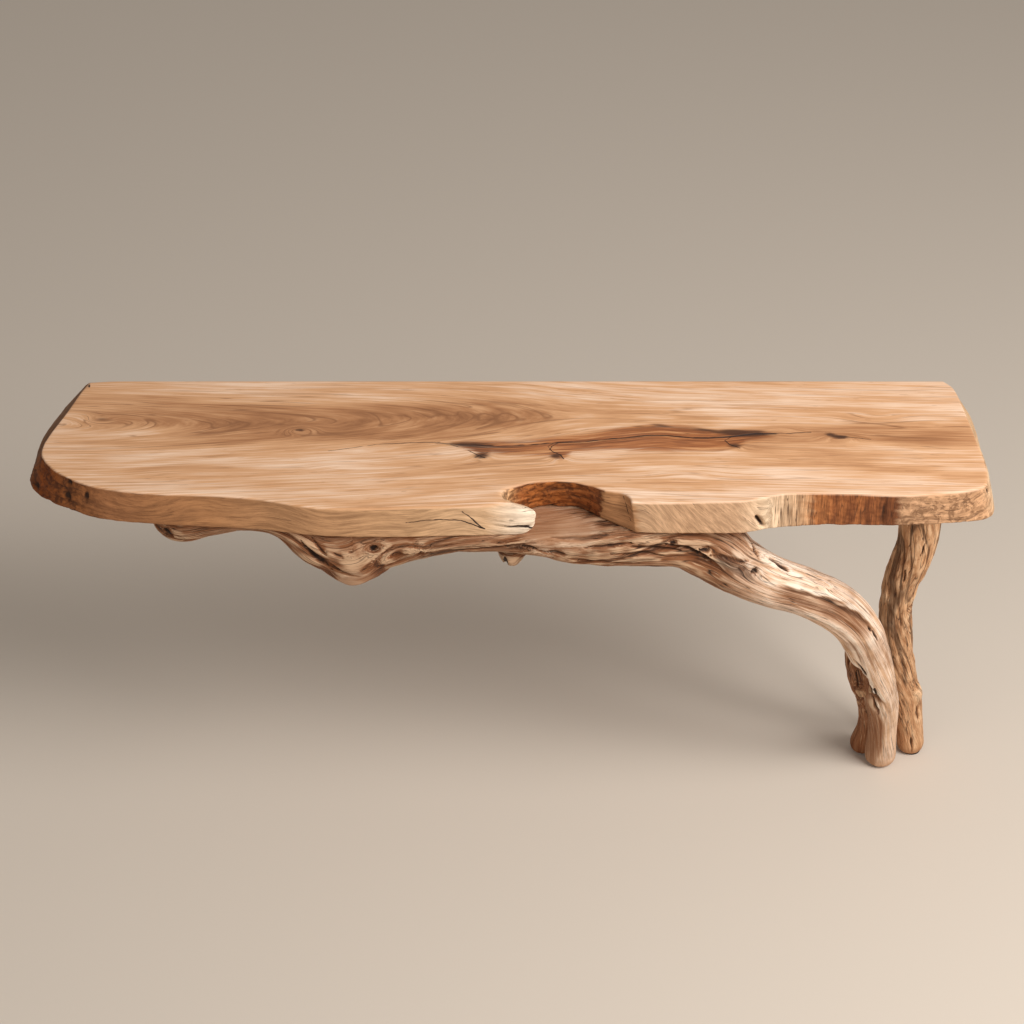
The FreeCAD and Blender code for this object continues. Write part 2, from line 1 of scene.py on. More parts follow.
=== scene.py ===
"""Looks of the console table: live-edge slab, driftwood limb and legs, and the steel that holds them.

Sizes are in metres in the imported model's frame, with X along the slab, +Y to the wall and Z up.
Tables of places on the wood are in millimetres.
"""

import math

import bpy
import numpy as np
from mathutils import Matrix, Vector
from mathutils.geometry import delaunay_2d_cdt
from mathutils.kdtree import KDTree


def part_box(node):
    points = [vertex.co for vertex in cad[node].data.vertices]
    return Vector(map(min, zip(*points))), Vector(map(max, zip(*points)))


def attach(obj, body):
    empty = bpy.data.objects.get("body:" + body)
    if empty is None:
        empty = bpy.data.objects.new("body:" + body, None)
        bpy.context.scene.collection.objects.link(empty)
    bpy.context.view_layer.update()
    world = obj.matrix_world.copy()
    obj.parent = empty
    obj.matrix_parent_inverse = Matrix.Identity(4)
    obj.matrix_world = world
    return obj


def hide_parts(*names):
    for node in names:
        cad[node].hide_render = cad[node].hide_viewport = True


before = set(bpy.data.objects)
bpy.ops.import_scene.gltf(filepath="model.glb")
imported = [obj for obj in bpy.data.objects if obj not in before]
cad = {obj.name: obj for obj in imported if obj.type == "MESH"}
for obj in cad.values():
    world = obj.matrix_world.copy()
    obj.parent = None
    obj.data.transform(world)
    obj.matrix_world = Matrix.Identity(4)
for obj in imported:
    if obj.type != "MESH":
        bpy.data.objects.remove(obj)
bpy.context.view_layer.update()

MM = 0.001
HALF_LENGTH = 0.825
DEPTH = 0.4
WALL = 0.2
TOP = 0.745
UNDERSIDE = 0.683
THICKNESS = TOP - UNDERSIDE
PAD = 0.003

# Live edge from the back left corner round the left end and the tongue to the bay's sawn face:
# share of half the length, share of the depth from the wall, then the underside's lead along X and Y in mm.
LEFT_EDGE = [
    (-0.904, 0.000, -50, 0), (-0.931, 0.230, -52, 0), (-0.964, 0.475, -29, 0), (-0.967, 0.580, -25, 0),
    (-0.951, 0.655, -20, -5), (-0.910, 0.748, -10, -5), (-0.839, 0.832, -5, -5), (-0.726, 0.880, 0, -3),
    (-0.600, 0.895, 0, -6), (-0.505, 0.922, 0, -2), (-0.410, 0.975, 0, 4), (-0.324, 0.996, 0, 6),
    (-0.190, 0.985, 0, 2), (-0.044, 0.978, 0, 4), (0.030, 0.982, -3, 8), (0.058, 0.962, -9, 4),
    (0.044, 0.934, -9, 2), (0.012, 0.902, -5, 6), (-0.004, 0.870, 0, 8), (0.012, 0.828, 0, 10),
    (0.055, 0.793, 0, 11), (0.103, 0.787, 0, 12), (0.150, 0.806, 0, 11), (0.194, 0.855, -4, 3),
]
RIGHT_EDGE = [
    (0.246, 0.948, 9, 0), (0.300, 0.952, 4, -1), (0.390, 0.945, 0, -4), (0.473, 0.938, 0, -6),
    (0.520, 0.905, 0, -9), (0.575, 0.882, 0, -9), (0.690, 0.884, 0, -4), (0.782, 0.898, 0, -1),
    (0.860, 0.888, 3, -1), (0.930, 0.864, 10, -3), (0.968, 0.828, 15, -3), (0.980, 0.745, 15, 0),
    (0.981, 0.620, 14, 0), (0.973, 0.440, 21, 0), (0.962, 0.225, 30, 0), (0.950, 0.060, 36, 0),
    (0.932, 0.000, 44, 0),
]

# Rows of the driftwood: share of half the length, share of the depth, height as a share of the underside's,
# then half depth and half height in mm. The beam gives its drop below the underside in mm for a height.
BEAM = [
    (-0.735, 0.775, 4, 14, 14), (-0.712, 0.780, 9, 28, 32), (-0.674, 0.785, 14, 35, 44),
    (-0.620, 0.792, 8, 36, 36), (-0.560, 0.800, 2, 36, 28), (-0.504, 0.812, 0, 38, 26),
    (-0.444, 0.825, 10, 44, 38), (-0.383, 0.838, 40, 52, 54), (-0.315, 0.842, 54, 55, 76),
    (-0.262, 0.842, 38, 55, 56), (-0.190, 0.842, 26, 54, 46), (-0.076, 0.842, 15, 52, 39),
    (0.050, 0.842, 20, 52, 43), (0.162, 0.840, 30, 52, 57), (0.280, 0.832, 34, 52, 57),
    (0.364, 0.826, 40, 52, 58),
]
FRONT_LEG = [
    (0.415, 0.822, 0.907, 50, 60), (0.470, 0.822, 0.852, 46, 53), (0.545, 0.812, 0.797, 42, 47),
    (0.618, 0.790, 0.752, 39, 44), (0.686, 0.755, 0.692, 38, 44), (0.738, 0.712, 0.609, 37, 41),
    (0.776, 0.652, 0.492, 37, 37), (0.801, 0.588, 0.381, 34, 34), (0.825, 0.512, 0.261, 29, 30),
    (0.836, 0.445, 0.139, 26, 27), (0.841, 0.392, 0.030, 28, 29), (0.844, 0.370, -0.040, 27, 28),
]
INNER_LEG = [
    (0.742, 0.640, 0.560, 12, 10), (0.748, 0.620, 0.500, 22, 20), (0.759, 0.585, 0.430, 26, 25),
    (0.776, 0.530, 0.340, 25, 24), (0.798, 0.455, 0.237, 22, 20), (0.810, 0.365, 0.120, 21, 20),
    (0.806, 0.305, 0.030, 24, 24), (0.803, 0.270, -0.040, 23, 23),
]
RIGHT_LEG = [
    (0.884, 0.365, 1.060, 40, 41), (0.883, 0.360, 0.900, 38, 40), (0.880, 0.352, 0.726, 37, 37),
    (0.868, 0.347, 0.660, 35, 36), (0.856, 0.338, 0.600, 33, 33), (0.850, 0.326, 0.514, 32, 31),
    (0.857, 0.315, 0.401, 31, 31), (0.872, 0.311, 0.288, 31, 31), (0.892, 0.304, 0.180, 29, 30),
    (0.909, 0.302, 0.070, 25, 26), (0.921, 0.302, -0.040, 25, 25),
]

# Marks in the driftwood: X, Y, Z, half length along the grain, half width and depth, all in mm, a bump
# being of negative depth; then the turn from the grain in degrees, darkness, and how far the grain swirls
# round it in mm.
LIMB_MARKS = [
    (-229, -189, 660, 6, 5, 9, 0, 1.0, 14),
    (-152, -188, 645, 8, 6, 8, 20, 0.9, 12),
    (-188, -191, 644, 16, 9, 4, -15, 0.3, 20),
    (-261, -192, 633, 34, 20, -4, 0, 0.0, 4),
    (-258, -168, 566, 13, 14, -5, 0, 0.0, 0),
    (-222, -168, 574, 18, 28, 10, 0, 0.0, 0),
    (-308, -168, 592, 20, 26, 7, 0, 0.0, 0),
    (-335, -184, 645, 32, 2.6, 5, 24, 0.8, 0),
    (-315, -186, 626, 28, 2.6, 5, 26, 0.8, 0),
    (-321, -184, 660, 24, 2.2, 4, 22, 0.7, 0),
    (-284, -190, 643, 14, 2.2, 3, 5, 0.7, 4),
    (-267, -189, 651, 11, 2.0, 3, -10, 0.6, 4),
    (-277, -187, 606, 26, 2.2, 4, 20, 0.7, 0),
    (-206, -191, 655, 16, 2.2, 3, -25, 0.6, 0),
    (-232, -188, 628, 22, 2.2, 3, -20, 0.5, 0),
    (-550, -138, 640, 30, 4, 5, 10, 0.7, 0),
    (-572, -142, 650, 14, 6, 6, 30, 0.8, 6),
    # The twig stub: its bump is darkened a little as painted shade, the stub lying shaded under the beam.
    (2, -142, 612, 26, 18, -32, 0, 0.3, 6),
    (-7, -151, 616, 10, 4, 6, 75, 1.0, 0),
    (70, -172, 652, 26, 6, 5, 4, 0.6, 14),
    (36, -176, 660, 16, 3, 4, 12, 0.7, 4),
    (150, -184, 660, 30, 3.4, 5, -6, 0.65, 8),
    (186, -185, 663, 26, 2.6, 5, -10, 0.75, 4),
    (109, -184, 676, 45, 5, 5, -4, 0.5, 10),
    (253, -184, 650, 52, 2.6, 6, 6, 0.7, 0),
    (215, -184, 640, 50, 2.4, 5, 4, 0.6, 0),
    (300, -182, 652, 40, 2.4, 6, 8, 0.7, 0),
    (322, -181, 640, 34, 1.8, 4, 12, 0.7, 0),
    (275, -181, 664, 7, 3.4, 6, -40, 0.9, 3),
    (329, -178, 648, 9, 4, 6, -35, 0.9, 5),
    (160, -180, 622, 60, 4, 4, 3, 0.5, 0),
    (394, -172, 602, 8, 5, 2, 0, 0.35, 5),
    (417, -166, 595, 6, 5, 6, 0, 0.9, 6),
    (454, -139, 594, 31, 4.6, 10, 6, 0.9, 6),
    (428, -148, 634, 24, 3, 7, 38, 0.8, 0),
    (372, -176, 625, 40, 3, 5, -25, 0.6, 0),
    (539, -131, 542, 6, 6, -1.2, 0, 0.1, 4),
    (630, -115, 432, 8, 2.4, 5, 8, 0.9, 0),
    (644, -107, 408, 18, 1.9, 5, 4, 0.9, 0),
    (618, -91, 330, 34, 3, 5, -14, 0.9, 0),
    (634, -76, 275, 30, 2.4, 4, -10, 0.8, 0),
    (646, -61, 245, 9, 8, -11, 0, 0.1, 10),
    (657, -66, 250, 20, 2.6, 4, -6, 0.8, 0),
    (648, -52, 222, 14, 2.4, 4, -30, 0.8, 0),
    (664, -40, 192, 28, 3, 6, -6, 0.6, 0),
]
# Panels with one sharp lip, given as the marks are: sunk, with a painted shadow under the lip, or only
# stained where they have no depth.
LIMB_PANELS = [
    (520, -153, 520, 66, 26, 5, -5, 0.7, 0),
    (592, -132, 468, 54, 24, 5, -8, 0.8, 0),
    (290, -182, 642, 90, 20, 5, 5, 0.5, 0),
    (-140, -186, 640, 60, 18, 4, 6, 0.6, 0),
    (632, -68, 262, 56, 27, 14, -10, 1.0, 0),
    # Painted shade: this broad stain down the left of the front leg's lower part stands for the shade of
    # the crease and the inner leg beside it.
    (667, 2, 140, 160, 56, 0, 0, 0.82, 0),
    # The twig stub's brown stain is partly painted shade.
    (2, -148, 598, 18, 16, 1, 0, 0.9, 0),
]
INNER_MARKS = [
    (600, -60, 330, 40, 4, 5, 6, 0.7, 0),
    (640, 20, 140, 30, 3, 4, -8, 0.5, 0),
    (632, -5, 190, 8, 6, 4, 0, 0.5, 10),
    (624, -44, 250, 56, 18, 9, 0, 0.3, 6),
    (636, -30, 222, 10, 9, -10, 0, 0.0, 12),
    (622, -46, 262, 34, 2.2, 5, 8, 0.9, 0),
]
RIGHT_MARKS = [
    (731, 22, 500, 20, 1.5, 4, 10, 0.8, 0),
    (705, 30, 441, 16, 2.0, 4, -14, 0.8, 2),
    (690, 30, 480, 44, 12, 4, 6, 0.0, 0),
    (727, 51, 356, 12, 7, 6, 0, 0.6, 8),
    (756, 61, 147, 17, 13, -8, 0, 0.1, 8),
    (759, 57, 108, 22, 4, 5, 0, 0.6, 0),
    (752, 52, 30, 20, 1.8, 5, 0, 0.7, 0),
    (680, 50, 378, 15, 11, -4, 0, 0.2, 6),
    (704, 41, 320, 50, 10, 4, 8, 0.0, 0),
    (722, 44, 230, 40, 2, 3, -6, 0.4, 0),
]

# Zones of the slab's edge in order round it: X, Y in mm, colour, relief in mm, and 1 for upright fibres.
EDGE_ZONES = [
    (-746, 200, (150, 104, 68), 0.6, 0),
    (-800, 40, (128, 82, 46), 1.6, 0),
    (-785, -65, (130, 63, 10), 3.2, 0),
    (-730, -118, (142, 84, 40), 2.4, 0),
    (-675, -140, (158, 104, 64), 1.2, 0),
    (-500, -158, (176, 123, 79), 0.6, 0),
    (-320, -198, (200, 150, 106), 0.5, 0),
    (-150, -194, (208, 163, 120), 0.5, 0),
    (-40, -191, (226, 184, 142), 1.0, 0),
    (20, -190, (255, 230, 202), 1.0, 0),
    (45, -187, (255, 230, 202), 1.0, 0),
    (15, -163, (222, 176, 132), 2.0, 0),
    (2, -152, (232, 186, 140), 3.0, 0),
    (4, -138, (206, 152, 102), 3.4, 0),
    (18, -127, (172, 104, 54), 3.4, 0),
    (45, -118, (170, 99, 44), 3.4, 0),
    (120, -116, (154, 87, 38), 3.2, 0),
    (152, -134, (148, 83, 38), 2.4, 0),
    (156, -138, (104, 58, 28), 1.2, 0),
    (159, -141, (186, 132, 86), 0.3, 0),
    (164, -144, (190, 136, 90), 0.2, 0),
    (200, -165, (186, 132, 88), 0.2, 0),
    (205, -179, (190, 138, 94), 0.4, 0),
    (214, -181, (214, 171, 132), 0.6, 0),
    (300, -180, (205, 161, 122), 0.7, 0),
    (380, -177, (209, 166, 128), 0.8, 0),
    (425, -166, (230, 196, 160), 0.9, 0),
    (433, -161, (236, 204, 168), 0.9, 0),
    (436, -159, (232, 198, 162), 0.9, 1),
    (480, -153, (214, 171, 131), 1.0, 1),
    (498, -153, (206, 154, 110), 1.4, 1),
    (512, -153, (166, 102, 56), 1.6, 1),
    (530, -153, (182, 113, 62), 1.6, 1),
    (545, -154, (140, 79, 39), 1.6, 1),
    (560, -154, (170, 102, 54), 1.6, 1),
    (574, -155, (134, 74, 36), 1.5, 1),
    (586, -156, (176, 106, 57), 1.4, 1),
    (600, -156, (136, 76, 38), 1.4, 1),
    (614, -157, (164, 97, 52), 1.3, 1),
    (628, -157, (108, 58, 26), 1.2, 1),
    (648, -158, (132, 76, 40), 1.0, 1),
    (657, -158, (198, 151, 112), 2.2, 0),
    (790, -140, (200, 151, 110), 2.3, 0),
    (808, -95, (232, 196, 156), 0.6, 0),
    (803, 20, (226, 184, 140), 0.6, 0),
    (769, 200, (222, 178, 134), 0.4, 0),
    (0, 200, (200, 154, 112), 0.1, 0),
]

# Marks in the slab's edge, given as the driftwood's are, with the grain running along the edge.
EDGE_MARKS = [
    (-741, -107, 736, 5, 5, 8, 0, 1.0, 10),
    (-745, -110, 709, 6, 8, 7, 20, 1.0, 12),
    (-805, -59, 694, 6, 5, 6, 0, 1.0, 10),
    (-709, -127, 722, 4, 10, 5, -10, 0.9, 4),
    (-776, -84, 714, 12, 11, -3, 0, 0.2, 18),
    (-790, -20, 712, 18, 12, -2, 0, 0.0, 16),
    (-690, -136, 706, 20, 10, -1, 0, 0.0, 14),
    (-640, -146, 718, 26, 9, 0, 0, 0.0, 8),
    (-560, -152, 702, 40, 12, 0, 0, 0.0, 6),
    (-430, -166, 720, 50, 12, 0, 0, 0.0, 6),
    (700, -158, 712, 24, 10, 0, 0, 0.0, 12),
    (755, -154, 706, 16, 9, 0, 0, 0.1, 12),
    (18, -189, 702, 24, 2.6, 6, 3, 0.9, 0),
    (423, -171, 700, 14, 3.2, 12, -58, 1.0, 6),
    (804, -128, 731, 3.5, 7, 5, 8, 1.0, 6),
    (501, -153, 716, 1.6, 22, 2, 2, 0.6, 0),
    (446, -157, 716, 1.3, 15, 2, -6, 0.5, 0),
    (456, -156, 708, 1.5, 18, 2, -4, 0.6, 0),
    (467, -155, 714, 1.3, 20, 2, 3, 0.55, 0),
    (482, -154, 710, 1.2, 14, 2, -2, 0.45, 0),
    (548, -154, 704, 1.4, 14, 2, -4, 0.5, 0),
    (583, -155, 720, 1.6, 18, 2, 3, 0.55, 0),
    (626, -157, 712, 2.6, 22, 3, -3, 0.7, 0),
    (640, -158, 706, 1.8, 16, 2, 2, 0.6, 0),
]

# Open cracks in the edge: X, Y, Z in mm of each bend, and half width in mm.
EDGE_CRACKS = [
    ([(-172, -195, 714), (-138, -193, 719), (-107, -191, 720), (-80, -190, 717), (-58, -190, 708),
      (-42, -190, 698)], 1.9),
    ([(-78, -190, 735), (-64, -190, 721), (-42, -190, 698)], 1.8),
    ([(-8, -189, 704), (18, -189, 702), (36, -186, 700), (47, -184, 696)], 2.4),
    ([(189, -150, 741), (196, -158, 726), (201, -170, 704)], 1.2),
]


def smooth_curve(stations, values, at):
    """Values at new stations, on a smooth curve through the given ones."""
    values = np.asarray(values, float)
    slopes = np.empty_like(values)
    slopes[1:-1] = (values[2:] - values[:-2]) / (stations[2:] - stations[:-2])[:, None]
    slopes[0] = (values[1] - values[0]) / (stations[1] - stations[0])
    slopes[-1] = (values[-1] - values[-2]) / (stations[-1] - stations[-2])
    place = np.clip(np.searchsorted(stations, at, side="right") - 1, 0, len(stations) - 2)
    span = (stations[place + 1] - stations[place])[:, None]
    share = (at - stations[place])[:, None] / span
    return (
        values[place] * (1 + 2 * share) * (1 - share) ** 2
        + slopes[place] * span * share * (1 - share) ** 2
        + values[place + 1] * share ** 2 * (3 - 2 * share)
        - slopes[place + 1] * span * share ** 2 * (1 - share)
    )


def travelled(points):
    """Distance along a line of points."""
    steps = np.linalg.norm(np.diff(points, axis=0), axis=1)
    return np.concatenate([[0.0], np.cumsum(steps)])


def eased(low, high, value):
    """Smooth step from 0 at low to 1 at high."""
    share = np.clip((value - low) / (high - low), 0, 1)
    return share * share * (3 - 2 * share)


def between(start, end, value):
    """1 between two borders and 0 beyond them; each border is the pair of values over which it eases."""
    return eased(*start, value) * (1 - eased(*end, value))


def soft_least(value, limit, ease):
    """The lesser of a value and a limit, rounded over where they meet."""
    near = np.clip(0.5 + 0.5 * (limit - value) / ease, 0, 1)
    return limit * (1 - near) + value * near - ease * near * (1 - near)


def gap_to(points, *place):
    """Distance from points to a place in mm."""
    return np.linalg.norm(points - np.array(place) * MM, axis=-1)


def oval_place(along, across, turn, length, width):
    """Place in an oval mark turned from the grain, as shares of its half length and half width in mm."""
    course = math.radians(turn)
    run = (along * math.cos(course) + across * math.sin(course)) / (length * MM)
    off = (across * math.cos(course) - along * math.sin(course)) / (width * MM)
    return run, off


def unit(vectors):
    return vectors / np.linalg.norm(vectors, axis=-1, keepdims=True)


def linear(colour):
    """Linear colour of a screen colour given from 0 to 255."""
    share = np.asarray(colour, float) / 255
    return np.where(share <= 0.04045, share / 12.92, ((share + 0.055) / 1.055) ** 2.4)


def shade(*colour):
    return tuple(linear(colour)) + (1.0,)


def new_piece(name, points, faces):
    mesh = bpy.data.meshes.new(name)
    mesh.from_pydata([tuple(point) for point in points], [], faces)
    mesh.shade_smooth()
    piece = bpy.data.objects.new(name, mesh)
    bpy.context.scene.collection.objects.link(piece)
    return piece


def store(piece, name, values):
    """Keep a number, a vector or a colour per point on a piece, for its finish to read."""
    kinds = {1: ("FLOAT", "value"), 3: ("FLOAT_VECTOR", "vector"), 4: ("FLOAT_COLOR", "color")}
    kind, field = kinds[values.size // len(values)]
    attribute = piece.data.attributes.new(name, kind, "POINT")
    attribute.data.foreach_set(field, np.ascontiguousarray(values, dtype=np.float32).ravel())


def points_of(mesh):
    flat = np.empty(len(mesh.vertices) * 3, np.float32)
    mesh.vertices.foreach_get("co", flat)
    return flat.reshape(-1, 3).astype(float)


# Node trees.
def put(tree, kind, inputs=(), **settings):
    """Add a node; an input takes a plain value or another node's socket."""
    node = tree.nodes.new(kind)
    for name, value in settings.items():
        setattr(node, name, value)
    for key, value in dict(inputs).items():
        if isinstance(value, bpy.types.NodeSocket):
            tree.links.new(value, node.inputs[key])
        else:
            node.inputs[key].default_value = value
    return node


def calc(tree, operation, *values, clamp=False):
    node = put(tree, "ShaderNodeMath", enumerate(values), operation=operation)
    node.use_clamp = clamp
    return node.outputs[0]


def times(tree, first, second):
    return calc(tree, "MULTIPLY", first, second)


def swayed(tree, pattern, weight, base):
    """A base value raised and lowered by a pattern that lies about one half."""
    return calc(tree, "MULTIPLY_ADD", calc(tree, "SUBTRACT", pattern, 0.5), weight, base)


def vector_calc(tree, operation, *values):
    return put(tree, "ShaderNodeVectorMath", enumerate(values), operation=operation).outputs[0]


def ramp(tree, value, low, high, start=0.0, end=1.0):
    """Smooth ramp from start at low to end at high."""
    settings = {0: value, 1: low, 2: high, 3: start, 4: end}
    return put(tree, "ShaderNodeMapRange", settings, interpolation_type="SMOOTHSTEP").outputs[0]


def blend(tree, share, first, second):
    return put(tree, "ShaderNodeMix", {0: share, 6: first, 7: second}, data_type="RGBA").outputs[2]


def noise(tree, place, scale, detail=3.0, roughness=0.55, distortion=0.0):
    settings = {
        "Vector": place, "Scale": scale, "Detail": detail, "Roughness": roughness, "Distortion": distortion,
    }
    return put(tree, "ShaderNodeTexNoise", settings, noise_dimensions="3D").outputs["Fac"]


NUMBER = "NodeSocketFloat"
VECTOR = "NodeSocketVector"
GEOMETRY = "NodeSocketGeometry"
MATERIAL = "NodeSocketMaterial"


def new_group(name, kind, inputs, outputs):
    """Node group; an input is given by the number it starts from, or else by the type of its socket."""
    tree = bpy.data.node_groups.new(name, kind)
    for label, given in inputs.items():
        if isinstance(given, str):
            tree.interface.new_socket(label, in_out="INPUT", socket_type=given)
        else:
            socket = tree.interface.new_socket(label, in_out="INPUT", socket_type=NUMBER)
            socket.default_value = given
    for label, socket_type in outputs.items():
        tree.interface.new_socket(label, in_out="OUTPUT", socket_type=socket_type)
    return tree, put(tree, "NodeGroupInput").outputs, put(tree, "NodeGroupOutput").inputs


def weathering_tree():
    """Creased strands, furrows and lumps that follow the grain and roughness stored on a piece."""
    tree, given, made = new_group(
        "weathering",
        "GeometryNodeTree",
        {
            "Wood": GEOMETRY, "Lump Size": 0.05, "Lump Depth": 0.003,
            "Strand Length": 0.3, "Strand Spacing": 0.03, "Strand Depth": 0.004,
            "Furrow Length": 0.09, "Furrow Spacing": 0.008, "Furrow Depth": 0.002,
            "Seed": 1.0, "Finish": MATERIAL,
        },
        {"Wood": GEOMETRY},
    )

    def carried(name, kind):
        return put(tree, "GeometryNodeInputNamedAttribute", {"Name": name}, data_type=kind).outputs[0]

    def along_grain(length, spacing):
        stretch = put(tree, "ShaderNodeCombineXYZ", {0: length, 1: spacing, 2: spacing}).outputs[0]
        return vector_calc(tree, "ADD", vector_calc(tree, "DIVIDE", grain, stretch), shift)

    def folds(length, spacing, detail):
        """Height between creases, and the creases themselves where they are present."""
        place = along_grain(length, spacing)
        wave = noise(tree, place, 1.0, detail, 0.5, 0.2)
        wave = calc(tree, "ABSOLUTE", calc(tree, "SUBTRACT", wave, 0.5))
        patches = noise(tree, vector_calc(tree, "MULTIPLY", place, (0.6, 0.45, 0.45)), 1.0, 1.0)
        present = ramp(tree, patches, 0.38, 0.54)
        low = times(tree, ramp(tree, wave, 0.0, 0.12, 1.0, 0.0), present)
        crease = times(tree, ramp(tree, wave, 0.0, 0.05, 1.0, 0.0), present)
        return low, crease

    grain = carried("grain", "FLOAT_VECTOR")
    rough = carried("rough", "FLOAT")
    shift = put(tree, "ShaderNodeCombineXYZ", dict.fromkeys(range(3), given["Seed"])).outputs[0]
    position = put(tree, "GeometryNodeInputPosition").outputs[0]
    lump_place = vector_calc(tree, "ADD", vector_calc(tree, "DIVIDE", position, given["Lump Size"]), shift)
    lump = calc(tree, "SUBTRACT", noise(tree, lump_place, 1.0, 2.0), 0.5)
    strand, strand_crease = folds(given["Strand Length"], given["Strand Spacing"], 1.0)
    furrow, furrow_crease = folds(given["Furrow Length"], given["Furrow Spacing"], 2.0)
    rise = times(tree, lump, given["Lump Depth"])
    cut = times(tree, strand, given["Strand Depth"])
    cut = calc(tree, "MULTIPLY_ADD", furrow, given["Furrow Depth"], cut)
    offset = times(tree, calc(tree, "SUBTRACT", rise, cut), rough)
    normal = put(tree, "GeometryNodeInputNormal").outputs[0]
    outward = put(tree, "ShaderNodeVectorMath", {0: normal, "Scale": offset}, operation="SCALE").outputs[0]
    moved = put(tree, "GeometryNodeSetPosition", {"Geometry": given["Wood"], "Offset": outward})
    depth = calc(tree, "MAXIMUM", strand_crease, times(tree, furrow_crease, 0.6))
    crevice = times(tree, depth, calc(tree, "MINIMUM", rough, 1.0))
    marked = put(
        tree,
        "GeometryNodeStoreNamedAttribute",
        {"Geometry": moved.outputs[0], "Name": "crevice", "Value": crevice},
        data_type="FLOAT",
        domain="POINT",
    )
    whole = put(tree, "GeometryNodeRealizeInstances", {0: marked.outputs[0]})
    dressing = {"Geometry": whole.outputs[0], "Material": given["Finish"]}
    dressed = put(tree, "GeometryNodeSetMaterial", dressing)
    tree.links.new(dressed.outputs[0], made["Wood"])
    return tree


def through_tree(piece, tree, values):
    """Run a piece through a node tree and keep the result as its plain mesh."""
    modifier = piece.modifiers.new("tree", "NODES")
    modifier.node_group = tree
    for item in tree.interface.items_tree:
        if item.in_out == "INPUT" and item.name in values:
            modifier[item.identifier] = values[item.name]
    view = bpy.context.evaluated_depsgraph_get()
    mesh = bpy.data.meshes.new_from_object(piece.evaluated_get(view))
    piece.modifiers.remove(modifier)
    piece.data = mesh
    mesh.name = piece.name
    mesh.shade_smooth()


def keep_inside(piece, low, high, ease):
    """Hold a piece's points between two corners, rounding the top and the foot where they are met."""
    points = points_of(piece.data)
    points[:, :2] = np.clip(points[:, :2], low[:2], high[:2])
    points[:, 2] = soft_least(points[:, 2], high[2], ease)
    points[:, 2] = -soft_least(-points[:, 2], -low[2], ease)
    piece.data.vertices.foreach_set("co", points.astype(np.float32).ravel())
    piece.data.update()


def dress(piece, node):
    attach(piece, "root")
    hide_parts(node)


# Shared shading effects.
def fibre_group():
    """Wood fibres drawn out along a grain: soft streaks, fine streaks, thin dark lines and short pores."""
    tree, given, made = new_group(
        "fibre grain",
        "ShaderNodeTree",
        {"Grain": VECTOR, "Length": 0.2, "Width": 0.006, "Plenty": 0.0},
        dict.fromkeys(("Streak", "Fine", "Lines", "Pores"), NUMBER),
    )
    stretch = put(tree, "ShaderNodeCombineXYZ", {0: given["Length"], 1: given["Width"], 2: given["Width"]})
    place = vector_calc(tree, "DIVIDE", given["Grain"], stretch.outputs[0])

    def finer(x, y):
        return vector_calc(tree, "MULTIPLY", place, (x, y, y))

    line_noise = noise(tree, finer(0.7, 1.5), 1.0, 1.0, 0.5, 0.12)
    line = ramp(tree, calc(tree, "ABSOLUTE", calc(tree, "SUBTRACT", line_noise, 0.5)), 0.0, 0.03, 1.0, 0.0)
    plenty = calc(tree, "MULTIPLY_ADD", given["Plenty"], 0.2, noise(tree, finer(0.5, 0.5), 1.0, 1.0))
    present = ramp(tree, plenty, 0.47, 0.62)
    tree.links.new(noise(tree, place, 1.0, 4.0, 0.6, 0.2), made["Streak"])
    tree.links.new(noise(tree, finer(2.2, 4.0), 1.0, 3.0, 0.65), made["Fine"])
    tree.links.new(times(tree, line, present), made["Lines"])
    tree.links.new(ramp(tree, noise(tree, finer(8.0, 3.5), 1.0, 2.0), 0.66, 0.74), made["Pores"])
    return tree


def crack_group():
    """Mask of one straight run of a crack."""
    tree, given, made = new_group(
        "crack line",
        "ShaderNodeTree",
        {"Place": VECTOR, "Start": VECTOR, "End": VECTOR, "Half Width": 0.001},
        {"Mask": NUMBER},
    )
    run = vector_calc(tree, "SUBTRACT", given["End"], given["Start"])
    offset = vector_calc(tree, "SUBTRACT", given["Place"], given["Start"])

    def measure(operation, first, second):
        node = put(tree, "ShaderNodeVectorMath", {0: first, 1: second}, operation=operation)
        return node.outputs["Value"]

    along = measure("DOT_PRODUCT", offset, run)
    share = calc(tree, "DIVIDE", along, measure("DOT_PRODUCT", run, run), clamp=True)
    foot = put(tree, "ShaderNodeVectorMath", {0: run, "Scale": share}, operation="SCALE").outputs[0]
    gap = measure("DISTANCE", offset, foot)
    narrow = times(tree, given["Half Width"], 0.4)
    tree.links.new(ramp(tree, gap, narrow, given["Half Width"], 1.0, 0.0), made["Mask"])
    return tree


def crevice_group():
    """Grime and painted shade that stay in furrows and hollows, frayed by the fibres."""
    tree, given, made = new_group(
        "crevice grime and shade",
        "ShaderNodeTree",
        {"Crevice": 0.0, "Hollow": 0.0, "Fine": 0.5, "Amount": 0.8},
        {"Dirt And Shade": NUMBER},
    )
    frayed = swayed(tree, given["Fine"], 0.9, given["Crevice"])
    line = times(tree, ramp(tree, frayed, 0.25, 0.95), given["Amount"])
    deep = swayed(tree, given["Fine"], 0.5, given["Hollow"])
    tree.links.new(calc(tree, "MAXIMUM", line, ramp(tree, deep, 0.12, 0.75)), made["Dirt And Shade"])
    return tree


FIBRE = fibre_group()
CRACK_LINE = crack_group()
CREVICE = crevice_group()
WEATHERING = weathering_tree()


def new_finish(name):
    finish = bpy.data.materials.new(name)
    finish.use_nodes = True
    tree = finish.node_tree
    return finish, tree, tree.nodes["Principled BSDF"].inputs


def kept(tree, name):
    return put(tree, "ShaderNodeAttribute", attribute_name=name).outputs


def own_place(tree):
    return put(tree, "ShaderNodeTexCoord").outputs["Object"]


def surface(tree, shader, colour, roughness, normal):
    tree.links.new(colour, shader["Base Color"])
    tree.links.new(roughness, shader["Roughness"])
    tree.links.new(normal, shader["Normal"])


def placed_group(tree, group, values):
    return put(tree, "ShaderNodeGroup", values, node_tree=group).outputs


